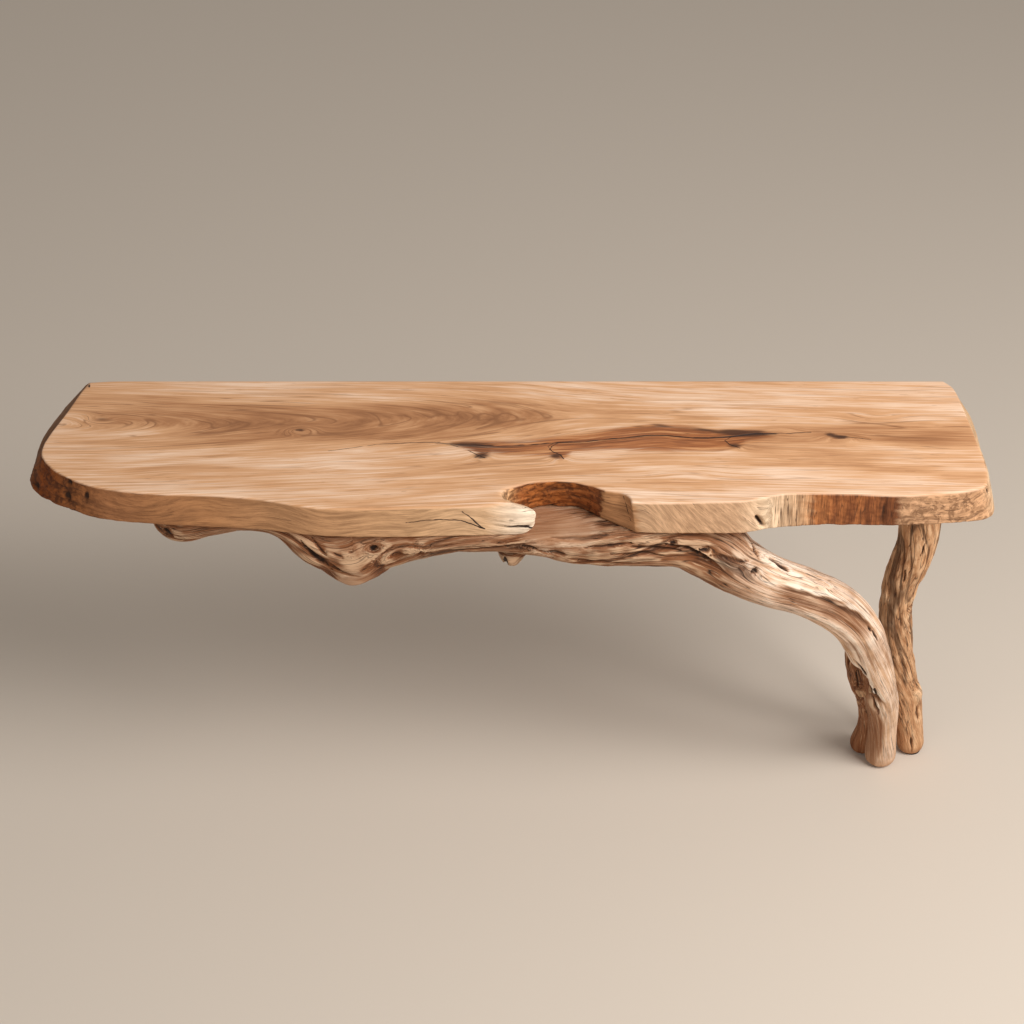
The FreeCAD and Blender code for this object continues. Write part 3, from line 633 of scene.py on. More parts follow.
def rough_surface(tree, height, depth, strength=1.0):
    settings = {"Strength": strength, "Distance": depth, "Height": height}
    return put(tree, "ShaderNodeBump", settings).outputs[0]


def dirt_and_shade(tree, fine, amount):
    """Grime and painted shade in the furrows and hollows that a piece carries."""
    values = {"Crevice": kept(tree, "crevice")["Fac"], "Hollow": kept(tree, "hollow")["Fac"]}
    return placed_group(tree, CREVICE, dict(values, Fine=fine, Amount=amount))["Dirt And Shade"]


# What a full stain leaves of red, green and blue; the stain is partly painted shade, chiefly on the beam
# under the slab.
STAIN_AND_SHADE_LEFT = (0.71, 0.51, 0.345)


def driftwood_finish(name, length, width, worn_and_highlight, pale, mid, brown, dark):
    """Wood weathered by the sea: ridges paler and valleys browner, part wear and part painted highlight and
    shade; thin dark lines along the grain; grime and painted shade in the hollows.
    """
    finish, tree, shader = new_finish(name)
    grain = kept(tree, "grain")["Vector"]
    rough = kept(tree, "rough")["Fac"]
    plenty = calc(tree, "MULTIPLY_ADD", rough, 2.4, -1.2)
    fibre = placed_group(tree, FIBRE, {"Grain": grain, "Length": length, "Width": width, "Plenty": plenty})
    place = own_place(tree)
    patch = noise(tree, place, 13.0, 3.0)
    valley = kept(tree, "valley")["Fac"]
    stain_and_shade = kept(tree, "brown")["Fac"]
    drawn = ramp(tree, rough, 0.1, 0.45, 0.3, 1.0)
    streak = times(tree, ramp(tree, fibre["Streak"], 0.36, 0.64), drawn)
    colour = blend(tree, streak, mid, pale)
    stain_and_shade_mix = calc(tree, "MAXIMUM", stain_and_shade, ramp(tree, patch, 0.5, 0.7, 0.0, 0.55))
    stain_and_shade_mix = times(tree, stain_and_shade_mix, ramp(tree, fibre["Streak"], 0.3, 0.6, 1.0, 0.7))
    colour = blend(tree, stain_and_shade_mix, colour, brown)
    # Valleys turn browner and ridges paler: part wear, part painted shade in the valleys and painted
    # highlight on the ridges.
    low = times(tree, ramp(tree, valley, 0.0, 0.9, 0.0, 0.75), drawn)
    high = times(tree, ramp(tree, valley, -0.05, -0.7, 0.0, 0.7), drawn)
    colour = blend(tree, high, blend(tree, low, colour, brown), worn_and_highlight)
    fine_brown = times(tree, ramp(tree, fibre["Fine"], 0.5, 0.68, 0.0, 0.6), drawn)
    fine_worn = times(tree, ramp(tree, fibre["Fine"], 0.44, 0.32, 0.0, 0.55), drawn)
    colour = blend(tree, fine_worn, blend(tree, fine_brown, colour, brown), worn_and_highlight)
    # The brown stain, partly painted shade, tints the colour down.
    colour = blend(tree, stain_and_shade, colour, vector_calc(tree, "MULTIPLY", colour, STAIN_AND_SHADE_LEFT))
    thin = times(tree, fibre["Lines"], ramp(tree, valley, -0.6, 0.4, 0.5, 0.95))
    thin = calc(tree, "MAXIMUM", thin, times(tree, fibre["Pores"], 0.45))
    colour = blend(tree, thin, colour, dark)
    colour = blend(tree, dirt_and_shade(tree, fibre["Fine"], 0.65), colour, dark)
    roughness = ramp(tree, fibre["Fine"], 0.2, 0.8, 0.68, 0.86)
    height = calc(tree, "MULTIPLY_ADD", fibre["Streak"], 0.6, fibre["Fine"])
    height = calc(tree, "SUBTRACT", height, times(tree, fibre["Lines"], 0.5))
    surface(tree, shader, colour, roughness, rough_surface(tree, height, 0.0018, 0.9))
    shader["Specular IOR Level"].default_value = 0.3
    return finish


# Driftwood shapes.
STEM_STEP = 0.0032
AROUND = 144
# Length of a stem's rounded foot and tip, and how far they close, 1 being to a point.
FOOT_ROUND = 0.018
FOOT_CLOSED = 0.4
TIP_ROUND = 0.020
TIP_CLOSED = 0.96
CURVE_STEPS = 4000
INTO_SLAB = 0.012
FLAT_EASE = 0.006
FULL_VALLEY = 0.0022
# Spokes and rings of a stem over which the height of its surroundings is taken.
VALLEY_SPOKES = 13
VALLEY_RINGS = 15
PLUG_REACH = 0.010
# Depths in mm: a bump beyond the first is blunt, and a panel as deep as the second has the full painted
# shadow under its lip.
BLUNT_BUMP = -14
FULL_LIP = 4
# A mark darker than this is a torn split; a paler one is a soft hollow or bump.
SPLIT_DARKNESS = 0.3
# Heights over which a stem grows rougher from its foot up, and over which the foot itself is worn smooth.
ROUGH_RISE = (0.08, 0.3)
FOOT_WEAR = (0.004, 0.03)


def stem_rows(rows, height):
    """Centres and half sizes of a stem's rows in metres; a function gives the height of each row."""
    centres = [(HALF_LENGTH * x, WALL - DEPTH * y, height(given)) for x, y, given, _, _ in rows]
    return np.array(centres), np.array([row[3:5] for row in rows]) * MM


def leg_rows(rows):
    return stem_rows(rows, lambda rise: UNDERSIDE * rise)


def beam_rows(rows):
    return stem_rows(rows, lambda drop: UNDERSIDE - drop * MM)


def wander(along, angle, seed):
    """Slow sway of the grain round a stem, in radians."""
    sway = 0.30 * np.sin(6 * along + seed) + 0.12 * np.sin(11 * along + 2 * angle + 2 * seed)
    return sway + 0.05 * np.sin(23 * along - 3 * angle + 3 * seed)


def stem_rings(centres, halves, ceiling, twist):
    """Oval rings square to a smooth line through the rows, rounded off at both ends, with their grain."""
    stations = travelled(centres)
    fine = np.linspace(0, stations[-1], CURVE_STEPS)
    line = smooth_curve(stations, centres, fine)
    inside = np.nonzero((line[:, 2] > PAD) & (line[:, 2] < ceiling))[0]
    first = fine[inside[0]]
    last = fine[inside[-1]]
    at = np.linspace(first, last, int((last - first) / STEM_STEP))
    line = smooth_curve(stations, centres, at)
    half = smooth_curve(stations, halves, at)
    heading = unit(np.gradient(line, at, axis=0))
    side = unit(np.array([0.0, 1.0, 0.0]) - heading * heading[:, 1:2])
    lift = np.cross(heading, side)
    start = np.clip((at - first) / TIP_ROUND, 0, 1)
    end = np.clip((last - at) / FOOT_ROUND, 0, 1)
    closing = np.sqrt(1 - (1 - start) ** 2 * TIP_CLOSED) * np.sqrt(1 - (1 - end) ** 2 * FOOT_CLOSED)
    angle = np.arange(AROUND) * 2 * math.pi / AROUND
    across = side[:, None] * (half[:, :1] * closing[:, None] * np.cos(angle))[:, :, None]
    upward = lift[:, None] * (half[:, 1:] * closing[:, None] * np.sin(angle))[:, :, None]
    points = line[:, None] + across + upward
    girth = half.mean(axis=1)[:, None]
    turned = angle[None, :] + twist * at[:, None] + wander(at[:, None], angle[None, :], twist)
    # The grain's second and third values run round a circle, so that it has no seam.
    usual = np.median(girth)
    grain = np.stack(
        [np.repeat(at[:, None], AROUND, 1), usual * np.cos(turned), usual * np.sin(turned)], axis=2
    )
    return points, unit(across + upward), grain, at, angle, girth


def panel_reach(run, off, x, y):
    """Broad panel with one sharp, uneven lip."""
    lip = eased(-0.62, -0.45, off + 0.07 * np.sin(run * 4 + x) + 0.03 * np.sin(run * 11 + y))
    return np.exp(-run ** 4 - off ** 4) * lip


def split_reach(run, off, number):
    """Torn split that tapers to both ends, fuller towards one; its number says which, and how it bends."""
    share = np.clip(run if number % 2 else -run, -0.98, 0.98)
    taper = 0.9 * (1 - share) ** 0.6 * (1 + share) ** 1.3
    torn = off + 0.3 * np.sin(3.1 * run + number) + 0.15 * np.sin(7.3 * run + 2 * number)
    return np.exp(-(torn / np.maximum(taper, 0.03)) ** 2) * (1 - eased(0.85, 1.1, np.abs(run)))


def sculpt(points, outward, grain, at, angle, girth, marks, panels):
    """Press marks and panels into rings: new points, swirled grain, dark of holes and painted lip shadow,
    brown of panels.
    """
    depth = np.zeros(points.shape[:2])
    dark = np.zeros_like(depth)
    brown = np.zeros_like(depth)
    swirl = np.zeros_like(depth)
    for number, mark in enumerate(marks + panels):
        x, y, z, length, width, sink, turn, shadow, bend = mark
        gap = gap_to(points, x, y, z)
        ring, spoke = np.unravel_index(np.argmin(gap), gap.shape)
        along = (at - at[ring])[:, None]
        around = (np.mod(angle - angle[spoke] + math.pi, 2 * math.pi) - math.pi)[None, :] * girth
        run, off = oval_place(along, around, turn, length, width)
        if number >= len(marks):
            reach = panel_reach(run, off, x, y)
            brown = np.maximum(brown, shadow * reach)
            # A sunk panel gets a dark band just under its lip: a painted shadow cast by the lip.
            painted_lip_shadow = min(sink / FULL_LIP, 1) * (1 - eased(-0.45, 0.15, off))
            dark = np.maximum(dark, 0.62 * shadow * reach * painted_lip_shadow)
        elif shadow > SPLIT_DARKNESS:
            reach = split_reach(run, off, number)
            dark = np.maximum(dark, shadow * reach ** 1.5)
        else:
            reach = np.exp(-(run ** 2 + off ** 2) ** (2 if sink < BLUNT_BUMP else 1))
            dark = np.maximum(dark, shadow * reach)
        depth += sink * MM * reach
        swirl += bend * MM * np.exp(-(run / 2.2) ** 2 - (off / 1.8) ** 2)
    grain = grain.copy()
    grain[:, :, 1] += swirl
    grain[:, :, 2] += swirl
    return points - outward * depth[:, :, None], grain, dark, brown


def valley_depth(rings, smooth, outward):
    """How far each point lies below its surroundings, as a share of a full valley; ridges are negative."""
    height = ((rings - smooth) * outward).sum(axis=2)
    spokes = range(-(VALLEY_SPOKES // 2), VALLEY_SPOKES // 2 + 1)
    around = sum(np.roll(height, shift, axis=1) for shift in spokes) / VALLEY_SPOKES
    margin = VALLEY_RINGS // 2
    padded = np.pad(around, ((margin, margin), (0, 0)), mode="edge")
    wide = sum(padded[shift:shift + len(height)] for shift in range(VALLEY_RINGS)) / VALLEY_RINGS
    return np.clip((wide - height) / FULL_VALLEY, -1, 1)


def stem_piece(name, rings):
    """Closed skin over rings of points, with a pole at each end."""
    count, around = rings.shape[:2]
    points = np.vstack([rings.reshape(-1, 3), rings[0].mean(axis=0), rings[-1].mean(axis=0)])
    index = np.arange(count * around).reshape(count, around)
    beside = np.roll(index, -1, axis=1)
    faces = np.stack([index[:-1], beside[:-1], beside[1:], index[1:]], axis=2).reshape(-1, 4).tolist()
    first_pole = count * around
    for here, there in zip(index[0], beside[0]):
        faces.append([first_pole, int(there), int(here)])
    for here, there in zip(index[-1], beside[-1]):
        faces.append([first_pole + 1, int(here), int(there)])
    return new_piece(name, points, faces)


def with_poles(values):
    """Point values of a stem's rings, followed by those of its two poles."""
    flat = values.reshape(-1, *values.shape[2:])
    return np.concatenate([flat, values[0].mean(axis=0)[None], values[-1].mean(axis=0)[None]])


def gap_to_plugs(points, plugs):
    """Distance from each point to the nearest corner of the plugs."""
    corners = [cad[plugs].matrix_world @ corner.co for corner in cad[plugs].data.vertices]
    tree = KDTree(len(corners))
    for number, corner in enumerate(corners):
        tree.insert(corner, number)
    tree.balance()
    return np.array([tree.find(point)[2] for point in points.reshape(-1, 3)]).reshape(points.shape[:2])


def driftwood(
    name, rows, marks, panels, twist, finish, weather, smooth_below, calm, aged_and_shaded, plugs=None,
):
    """One piece of driftwood, smoother below a height, round the calm spots and round its plugs.

    A calm spot is X, Y, Z and reach in mm. The brown darkening is given by its strength and the two X
    between which it fades out; it is part real staining and part painted shade, as on the limb's beam under
    the slab.
    """
    centres, halves = rows
    strength, fades_from, fades_to = aged_and_shaded
    oval, outward, grain, at, angle, girth = stem_rings(centres, halves, UNDERSIDE + INTO_SLAB, twist)
    points, grain, dark, brown = sculpt(oval, outward, grain, at, angle, girth, marks, panels)
    height = points[:, :, 2]
    rough = 0.3 + 0.2 * eased(*ROUGH_RISE, height)
    rough += 0.5 * eased(smooth_below - 0.1, smooth_below + 0.05, height)
    # Brown stain fading out along X; on the limb's beam under the slab it is partly painted shade.
    stain_and_shade = strength * (1 - eased(fades_from, fades_to, points[:, :, 0]))
    for x, y, z, reach in calm:
        far = eased(reach * MM, 2 * reach * MM, gap_to(points, x, y, z))
        rough *= 0.15 + 0.85 * far
        brown = np.maximum(brown, 0.5 * (1 - far))
        stain_and_shade *= 0.7 + 0.3 * far
    if plugs:
        rough *= eased(PLUG_REACH, 2 * PLUG_REACH, gap_to_plugs(points, plugs))
    foot = eased(*FOOT_WEAR, height - PAD)
    piece = stem_piece(name, points)
    store(piece, "grain", with_poles(grain))
    store(piece, "hollow", with_poles(dark))
    store(piece, "rough", with_poles(rough * (0.35 + 0.65 * foot)))
    store(piece, "brown", with_poles(np.maximum(np.maximum(brown, stain_and_shade), 0.3 * (1 - foot))))
    through_tree(piece, WEATHERING, dict(weather, Finish=finish))
    weathered = points_of(piece.data)[:dark.size].reshape(points.shape)
    store(piece, "valley", with_poles(valley_depth(weathered, oval, outward)))
    low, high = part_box(name)
    keep_inside(piece, (low.x, low.y, PAD), (high.x, high.y, UNDERSIDE), FLAT_EASE)
    dress(piece, name)


PALE_DRIFTWOOD = driftwood_finish(
    "pale driftwood", length=0.12, width=0.008, worn_and_highlight=shade(255, 239, 219), pale=shade(250, 220, 194),
    mid=shade(220, 177, 140), brown=shade(132, 84, 49), dark=shade(48, 30, 19),
)
BROWN_DRIFTWOOD = driftwood_finish(
    "brown driftwood", length=0.06, width=0.010, worn_and_highlight=shade(244, 204, 162), pale=shade(226, 179, 135),
    mid=shade(196, 145, 102), brown=shade(134, 85, 50), dark=shade(58, 36, 22),
)

beam_centres, beam_halves = beam_rows(BEAM)
front_centres, front_halves = leg_rows(FRONT_LEG)
limb_rows = (np.vstack([beam_centres, front_centres]), np.vstack([beam_halves, front_halves]))
# Calm spots of the limb: two under the bay and one low on the knuckle.
LIMB_CALM = [(65, -148, 683, 36), (115, -156, 680, 26), (-258, -172, 572, 26)]
LIMB_WEATHER = {
    "Lump Size": 0.055, "Lump Depth": 0.006,
    "Strand Length": 0.26, "Strand Spacing": 0.036, "Strand Depth": 0.0034,
    "Furrow Length": 0.11, "Furrow Spacing": 0.010, "Furrow Depth": 0.0014,
    "Seed": 3.0,
}
RIGHT_LEG_WEATHER = dict(LIMB_WEATHER, Seed=15.0)
RIGHT_LEG_WEATHER.update({"Lump Depth": 0.008, "Strand Depth": 0.0014, "Furrow Length": 0.05})

# The limb's beam under the slab is stained darker, partly as painted shade.
driftwood(
    "driftwood_limb", limb_rows, LIMB_MARKS, LIMB_PANELS, twist=2.2, finish=PALE_DRIFTWOOD,
    weather=LIMB_WEATHER, smooth_below=0.55, calm=LIMB_CALM,
    aged_and_shaded=(0.9, 0.33, 0.47), plugs="limb_plugs",
)
driftwood(
    "inner_leg", leg_rows(INNER_LEG), INNER_MARKS, [], twist=3.0, finish=PALE_DRIFTWOOD,
    weather=dict(LIMB_WEATHER, Seed=8.0), smooth_below=0.12, calm=[],
    aged_and_shaded=(1.0, 0.7, 0.8), plugs="inner_leg_plugs",
)
driftwood(
    "right_leg", leg_rows(RIGHT_LEG), RIGHT_MARKS, [], twist=3.5, finish=BROWN_DRIFTWOOD,
    weather=RIGHT_LEG_WEATHER, smooth_below=0.1, calm=[],
    aged_and_shaded=(0.1, 0.8, 0.9),
)


# Slab.
EDGE_STEP = 0.0024
BACK_STEP = 0.012
BACK_FINE = 0.03
SAWN_COLUMNS = 28
CRACK_STEP = 0.004
# Levels of the edge in its lower round, its wall and its upper round.
LOWER_LEVELS = 5
WALL_LEVELS = 24
UPPER_LEVELS = 8
TOP_ROUND = 0.0042
LOWER_ROUND = 0.004
# Sides drawn in by less than the first never cross; else a column keeps its place where it lies in by
# the second share of its inset.
LEAST_INSET = 0.0001
CLEAR_SHARE = 0.97
TONGUE_TIP = (0.052, -0.190)
TONGUE_DROP = 0.004
TONGUE_REACH = 0.048
# The edge right of the bay has its grain on a slant: its slope, the X over which it starts and ends,
# and the Y that it stays in front of.
SLANT = 1.1
SLANT_START = (0.21, 0.25)
SLANT_END = (0.40, 0.43)
SLANT_FRONT = -0.12
# The left half of the edge has fewer thin lines, from these X on.
PLAIN_START = (-0.75, -0.68)
# Points that fill the top: their steps along X and Y, which are closer in a box round the heart, and their
# least distance from the rim and from the crack.
TOP_STEPS = (0.006, 0.005)
HEART_STEPS = (0.0032, 0.0026)
HEART_BOX = np.array([(-0.13, -0.056), (0.48, 0.070)])
RIM_CLEAR = 0.003
CRACK_CLEAR = 0.0032
# What the triangulation keeps, the faces inside its loop, and the distance at which it joins points.
INSIDE_FACES = 1
JOINED = 1e-7

# Top corner of the sawn face, drawn back from the straight foot of the face, in mm.
SAWN_TOP = [(160, -142), (172, -145), (189, -150), (200, -162), (203, -179)]
# Places where the top and the lower edge are worn rounder: X, Y, added radius and reach in mm.
WORN_EDGES = [(8, -192, 24, 36), (40, -190, 16, 20), (2, -154, 11, 16), (808, -40, 4, 150),
              (-746, 200, 6, 30)]
WORN_LOWER_EDGES = [(48, -186, 15, 16)]

# Lines on the top, in mm: upper and lower edge of the dark heart, and the crack that runs through it.
HEART_UPPER = [(-118, 4), (-80, 10), (-30, 10), (44, 14), (120, 31), (195, 53), (250, 62), (306, 57),
               (360, 42), (400, 43), (434, 43), (455, 33), (470, 29)]
HEART_LOWER = [(-118, 2), (-85, -14), (-60, -30), (-46, -44), (-30, -32), (0, -36), (40, -38), (72, -42),
               (90, -50), (108, -28), (150, -22), (193, -22), (291, -25), (340, -24), (375, -22),
               (392, -14), (405, 2), (430, 10), (470, 27)]
CRACK = [(-128, 2), (-100, -2), (-60, -5), (-29, -8), (10, -7), (44, -4), (75, 1), (105, 3), (137, 6),
         (165, 12), (195, 16), (228, 22), (258, 25), (292, 20), (334, 16), (365, 19), (390, 22),
         (425, 30), (462, 29)]
CRACK_DEPTH = 0.003
# X over which the heart starts and ends, and the dark rim along its upper edge.
HEART_START = (-0.118, -0.09)
HEART_END = (0.455, 0.475)
RIM_START = (0.10, 0.20)
RIM_END = (0.40, 0.45)
# Half width of the crack's groove at its ends, and what it gains towards the middle.
GROOVE_END = 0.0002
GROOVE_GAIN = 0.0012
# Half width of the crack's dark opening over X, in mm; it is shut where this is negative.
CRACK_GAPE = [(-140, -2.0), (-118, 0.9), (60, 1.5), (380, 2.0), (455, 1.4), (475, -2.0)]
# Lesser cracks of the top, in mm, with their half width.
TOP_CRACKS = [
    ([(76, 0), (67, -10), (72, -24), (88, -36), (92, -48)], 1.6),
    ([(98, 4), (84, 0), (74, -9), (69, -20)], 1.2),
    ([(-309, -24), (-260, -12), (-216, -3), (-170, 1), (-119, 3)], 1.2),
    ([(-100, -4), (-70, -22), (-52, -38), (-42, -46)], 1.5),
    ([(-36, -28), (-48, -38), (-58, -44)], 1.0),
    ([(380, 18), (370, 8), (376, -4), (394, -15)], 1.8),
    ([(449, 31), (476, 30), (520, 34)], 1.4),
    ([(534, 30), (556, 22), (584, 18), (620, 12)], 0.9),
    ([(-742, 186), (-741, 178)], 1.6),
]
# Pith that the growth rings lie round: its Y and sway, its height above the top at an X near the left end,
# its slope from there, and the X where it levels off with the ease of that bend.
PITH_Y = 0.072
PITH_SWAY = 0.012
PITH_FROM = -0.75
PITH_LOW = 0.020
PITH_SLOPE = 0.115
PITH_LEVEL = 0.04
PITH_EASE = 0.16
# X over which the arches of the rings turn into straight lines.
STRAIGHT_FROM = (0.0, 0.3)
# Knots the growth rings bend round: X, Y, half length, half width and bend in mm.
KNOTS = [(-361, 41, 34, 15, 17), (568, 19, 34, 14, 16), (-46, -42, 22, 12, 12), (-713, 72, 30, 16, 14),
         (88, -48, 18, 12, 10), (470, 40, 30, 14, 8), (380, -10, 26, 12, 10), (-290, -70, 40, 16, 7),
         (300, -90, 60, 18, 8), (640, 80, 50, 14, 8), (-560, -90, 70, 18, 7)]
# Old brown wood and the darkest spots of the top: strength, then X, Y, half length and half width in mm.
OLD_WOOD = [(0.95, -430, 82, 360, 62), (0.8, -80, 70, 150, 42), (0.5, -600, -4, 130, 9),
            (0.35, -250, 20, 200, 16), (0.8, 620, 26, 190, 24), (0.7, 690, 46, 190, 40),
            (0.35, -720, -52, 40, 7), (0.3, -120, -60, 90, 18), (0.4, -690, 74, 60, 22),
            (0.3, 420, 20, 120, 60)]
DARK_SPOTS = [(0.95, 408, 29, 48, 12), (0.8, 386, -8, 16, 9), (0.8, -48, -40, 14, 8),
              (0.8, 80, -40, 12, 10), (0.35, 320, 40, 40, 8), (0.9, -361, 41, 10, 4),
              (0.9, 552, 27, 11, 6), (1.0, 570, 19, 15, 6), (0.7, -742, 182, 3, 7),
              (0.8, -72, -3, 42, 8), (0.6, -704, 73, 22, 6), (0.4, 530, 36, 16, 5),
              (0.34, -10, -20, 90, 24)]
# Colours of the top and of its heart from dark to pale, each with its tone.
SAPWOOD = [(0.08, shade(134, 84, 50)), (0.38, shade(184, 128, 85)), (0.62, shade(220, 166, 120)),
           (0.92, shade(251, 216, 186))]
HEARTWOOD = [(0.36, shade(84, 42, 20)), (0.45, shade(138, 78, 41)), (0.54, shade(174, 106, 59)),
             (0.65, shade(212, 152, 102))]


def edge_columns():
    """Outline at the top, the underside's lead and the distance travelled, as evenly spaced columns."""
    runs = []
    for rows in (LEFT_EDGE, RIGHT_EDGE):
        rows = np.array(rows)
        plan = np.stack([HALF_LENGTH * rows[:, 0], WALL - DEPTH * rows[:, 1]], axis=1)
        stations = travelled(plan)
        at = np.linspace(0, stations[-1], int(stations[-1] / EDGE_STEP))
        runs.append(smooth_curve(stations, np.hstack([plan, rows[:, 2:] * MM]), at))
    left, right = runs
    share = np.linspace(0, 1, SAWN_COLUMNS)[1:-1]
    sawn = left[-1] + (right[0] - left[-1]) * share[:, None]
    corner = np.array(SAWN_TOP) * MM
    stations = travelled(corner)
    drawn_back = smooth_curve(stations, corner, share * stations[-1])
    sawn[:, 2:] += sawn[:, :2] - drawn_back
    sawn[:, :2] = drawn_back
    back = np.linalg.norm(left[0, :2] - right[-1, :2])
    near = np.arange(EDGE_STEP, BACK_FINE, EDGE_STEP)
    even = np.arange(BACK_FINE, back - BACK_FINE, BACK_STEP)
    shares = np.concatenate([near, even, back - near[::-1]]) / back
    columns = np.vstack([left, sawn, right, right[-1] + (left[0] - right[-1]) * shares[:, None]])
    return columns[:, :2], columns[:, 2:], travelled(columns[:, :2])


def drawn_in(outline, outward, inset):
    """Outline moved inward; where its sides would cross at a corner, the columns close up along a chord."""
    moved = outline - outward * inset[:, None]
    if inset.max() < LEAST_INSET:
        return moved
    fine = gap_to_line(moved, np.vstack([outline, outline[:1]])) > inset * CLEAR_SHARE
    place = np.arange(len(moved))
    return np.stack([np.interp(place, place[fine], moved[fine, axis]) for axis in (0, 1)], axis=1)


def worn_round(outline, least, places):
    """Radius of an edge at each column: the least one, and more near the worn places."""
    radius = np.full(len(outline), least)
    for x, y, added, reach in places:
        radius += added * MM * np.exp(-(gap_to(outline, x, y) / (reach * MM)) ** 2)
    return radius


def edge_profile(top_round, lower_round):
    """Rise above the underside and inset of the edge's levels, from the lowest up, at each column."""
    quarter = np.linspace(0, math.pi / 2, LOWER_LEVELS)
    lower_rise = lower_round[:, None] * (1 - np.cos(quarter))
    lower_inset = lower_round[:, None] * (1 - np.sin(quarter))
    share = np.linspace(0, 1, WALL_LEVELS)[1:-1]
    wall_rise = lower_round[:, None] + (THICKNESS - top_round - lower_round)[:, None] * share
    quarter = np.linspace(0, math.pi / 2, UPPER_LEVELS)
    upper_rise = THICKNESS - top_round[:, None] * (1 - np.sin(quarter))
    upper_inset = top_round[:, None] * (1 - np.cos(quarter))
    rise = np.hstack([lower_rise, wall_rise, upper_rise])
    inset = np.hstack([lower_inset, np.zeros_like(wall_rise), upper_inset])
    return rise, inset


def within(points, loop):
    """Which points lie inside a closed loop."""
    inside = np.zeros(len(points), bool)
    ends = np.roll(loop, -1, axis=0)
    for (x1, y1), (x2, y2) in zip(loop, ends):
        if y1 == y2:
            continue
        crossing = (points[:, 1] < y1) != (points[:, 1] < y2)
        reach = x1 + (points[:, 1] - y1) * (x2 - x1) / (y2 - y1)
        inside ^= crossing & (points[:, 0] < reach)
    return inside


def gap_to_line(points, line):
    """Least distance from points to a line of straight runs."""
    best = np.full(len(points), np.inf)
    for start, end in zip(line[:-1], line[1:]):
        run = end - start
        share = np.clip(((points - start) @ run) / max(run @ run, 1e-12), 0, 1)
        best = np.minimum(best, np.linalg.norm(points - start - share[:, None] * run, axis=1))
    return best


def finely(line, step):
    """A smooth line through the given places in mm, cut into short steps."""
    line = np.array(line, float) * MM
    stations = travelled(line)
    return smooth_curve(stations, line, np.linspace(0, stations[-1], int(stations[-1] / step)))


def lattice(low, high, step_x, step_y):
    """Points in rows, every second row moved by half a step."""
    xs = np.arange(low[0], high[0], step_x)
    ys = np.arange(low[1], high[1], step_y)
    grid = np.stack(np.meshgrid(xs, ys, indexing="ij"), axis=2)
    grid[:, 1::2, 0] += step_x / 2
    return grid.reshape(-1, 2)


def triangulated(points, edges, count):
    """Triangles inside the loop of the first points: places, triangles and the points at each place."""
    loop = list(range(count))
    result = delaunay_2d_cdt([Vector(point) for point in points], edges, [loop], INSIDE_FACES, JOINED)
    return result[0], result[2], result[3]


def slab_top_fill(loop, crack, widths):
    """Triangles of the sanded top inside a loop, with a groove along the crack."""
    heading = unit(np.gradient(crack, axis=0))
    normal = np.stack([-heading[:, 1], heading[:, 0]], axis=1)
    aside = (normal * widths[:, None])[1:-1]
    lips = [crack[1:-1] + aside, crack[1:-1] - aside]
    coarse = lattice(loop.min(axis=0), loop.max(axis=0), *TOP_STEPS)
    in_heart = ((coarse > HEART_BOX[0]) & (coarse < HEART_BOX[1])).all(axis=1)
    spots = np.vstack([coarse[~in_heart], lattice(*HEART_BOX, *HEART_STEPS)])
    spots = spots[within(spots, loop[::2])]
    spots = spots[gap_to_line(spots, loop[::4]) > RIM_CLEAR]
    spots = spots[gap_to_line(spots, crack[::2]) > CRACK_CLEAR]
    parts = [loop, crack] + lips + [spots]
    offsets = np.concatenate([[0], np.cumsum([len(part) for part in parts])])
    chain = [(offsets[1] + i, offsets[1] + i + 1) for i in range(len(crack) - 1)]
    for lip in (2, 3):
        first = offsets[lip]
        last = offsets[lip + 1] - 1
        chain += [(offsets[1], first), (last, offsets[2] - 1)]
        chain += [(i, i + 1) for i in range(first, last)]
    chain = [(int(a), int(b)) for a, b in chain]
    places, faces, origins = triangulated(np.vstack(parts), chain, len(loop))
    sunk = np.array([any(offsets[1] < i < offsets[2] - 1 for i in origin) for origin in origins])
    loop_index = [next((i for i in origin if i < len(loop)), -1) for origin in origins]
    return np.array([tuple(place) for place in places]), faces, sunk, loop_index


def column_at(outline, x, y):
    """Number of the column nearest to a place in mm."""
    return np.argmin(gap_to(outline, x, y))


def zone_values(travel, heights, outline):
    """Colour, relief and fibre direction over the edge, with ragged borders between the zones."""
    stops = []
    for x, y, colour, relief, upright in EDGE_ZONES:
        stops.append((travel[column_at(outline, x, y)], *linear(colour), relief * MM, upright))
    stops = np.array(sorted(stops))
    along = travel[:, None]
    ragged = 0.003 * np.sin(heights * 300 + along * 60) + 0.002 * np.sin(heights * 720 + along * 140)
    return np.stack([np.interp(along + ragged, stops[:, 0], stops[:, i]) for i in range(1, 6)], axis=2)


def line_height(line, x):
    """Y of a line of places in mm at each X."""
    line = np.array(line) * MM
    return np.interp(x, line[:, 0], line[:, 1])


def blot(points, x, y, half_length, half_width):
    """Soft oval mark on the plan, sizes in mm."""
    run = (points[:, 0] / MM - x) / half_length
    off = (points[:, 1] / MM - y) / half_width
    return np.exp(-run ** 2 - off ** 2)


def blots(points, rows):
    """Sum of many soft oval marks, each with its strength."""
    return sum(strength * blot(points, *oval) for strength, *oval in rows)


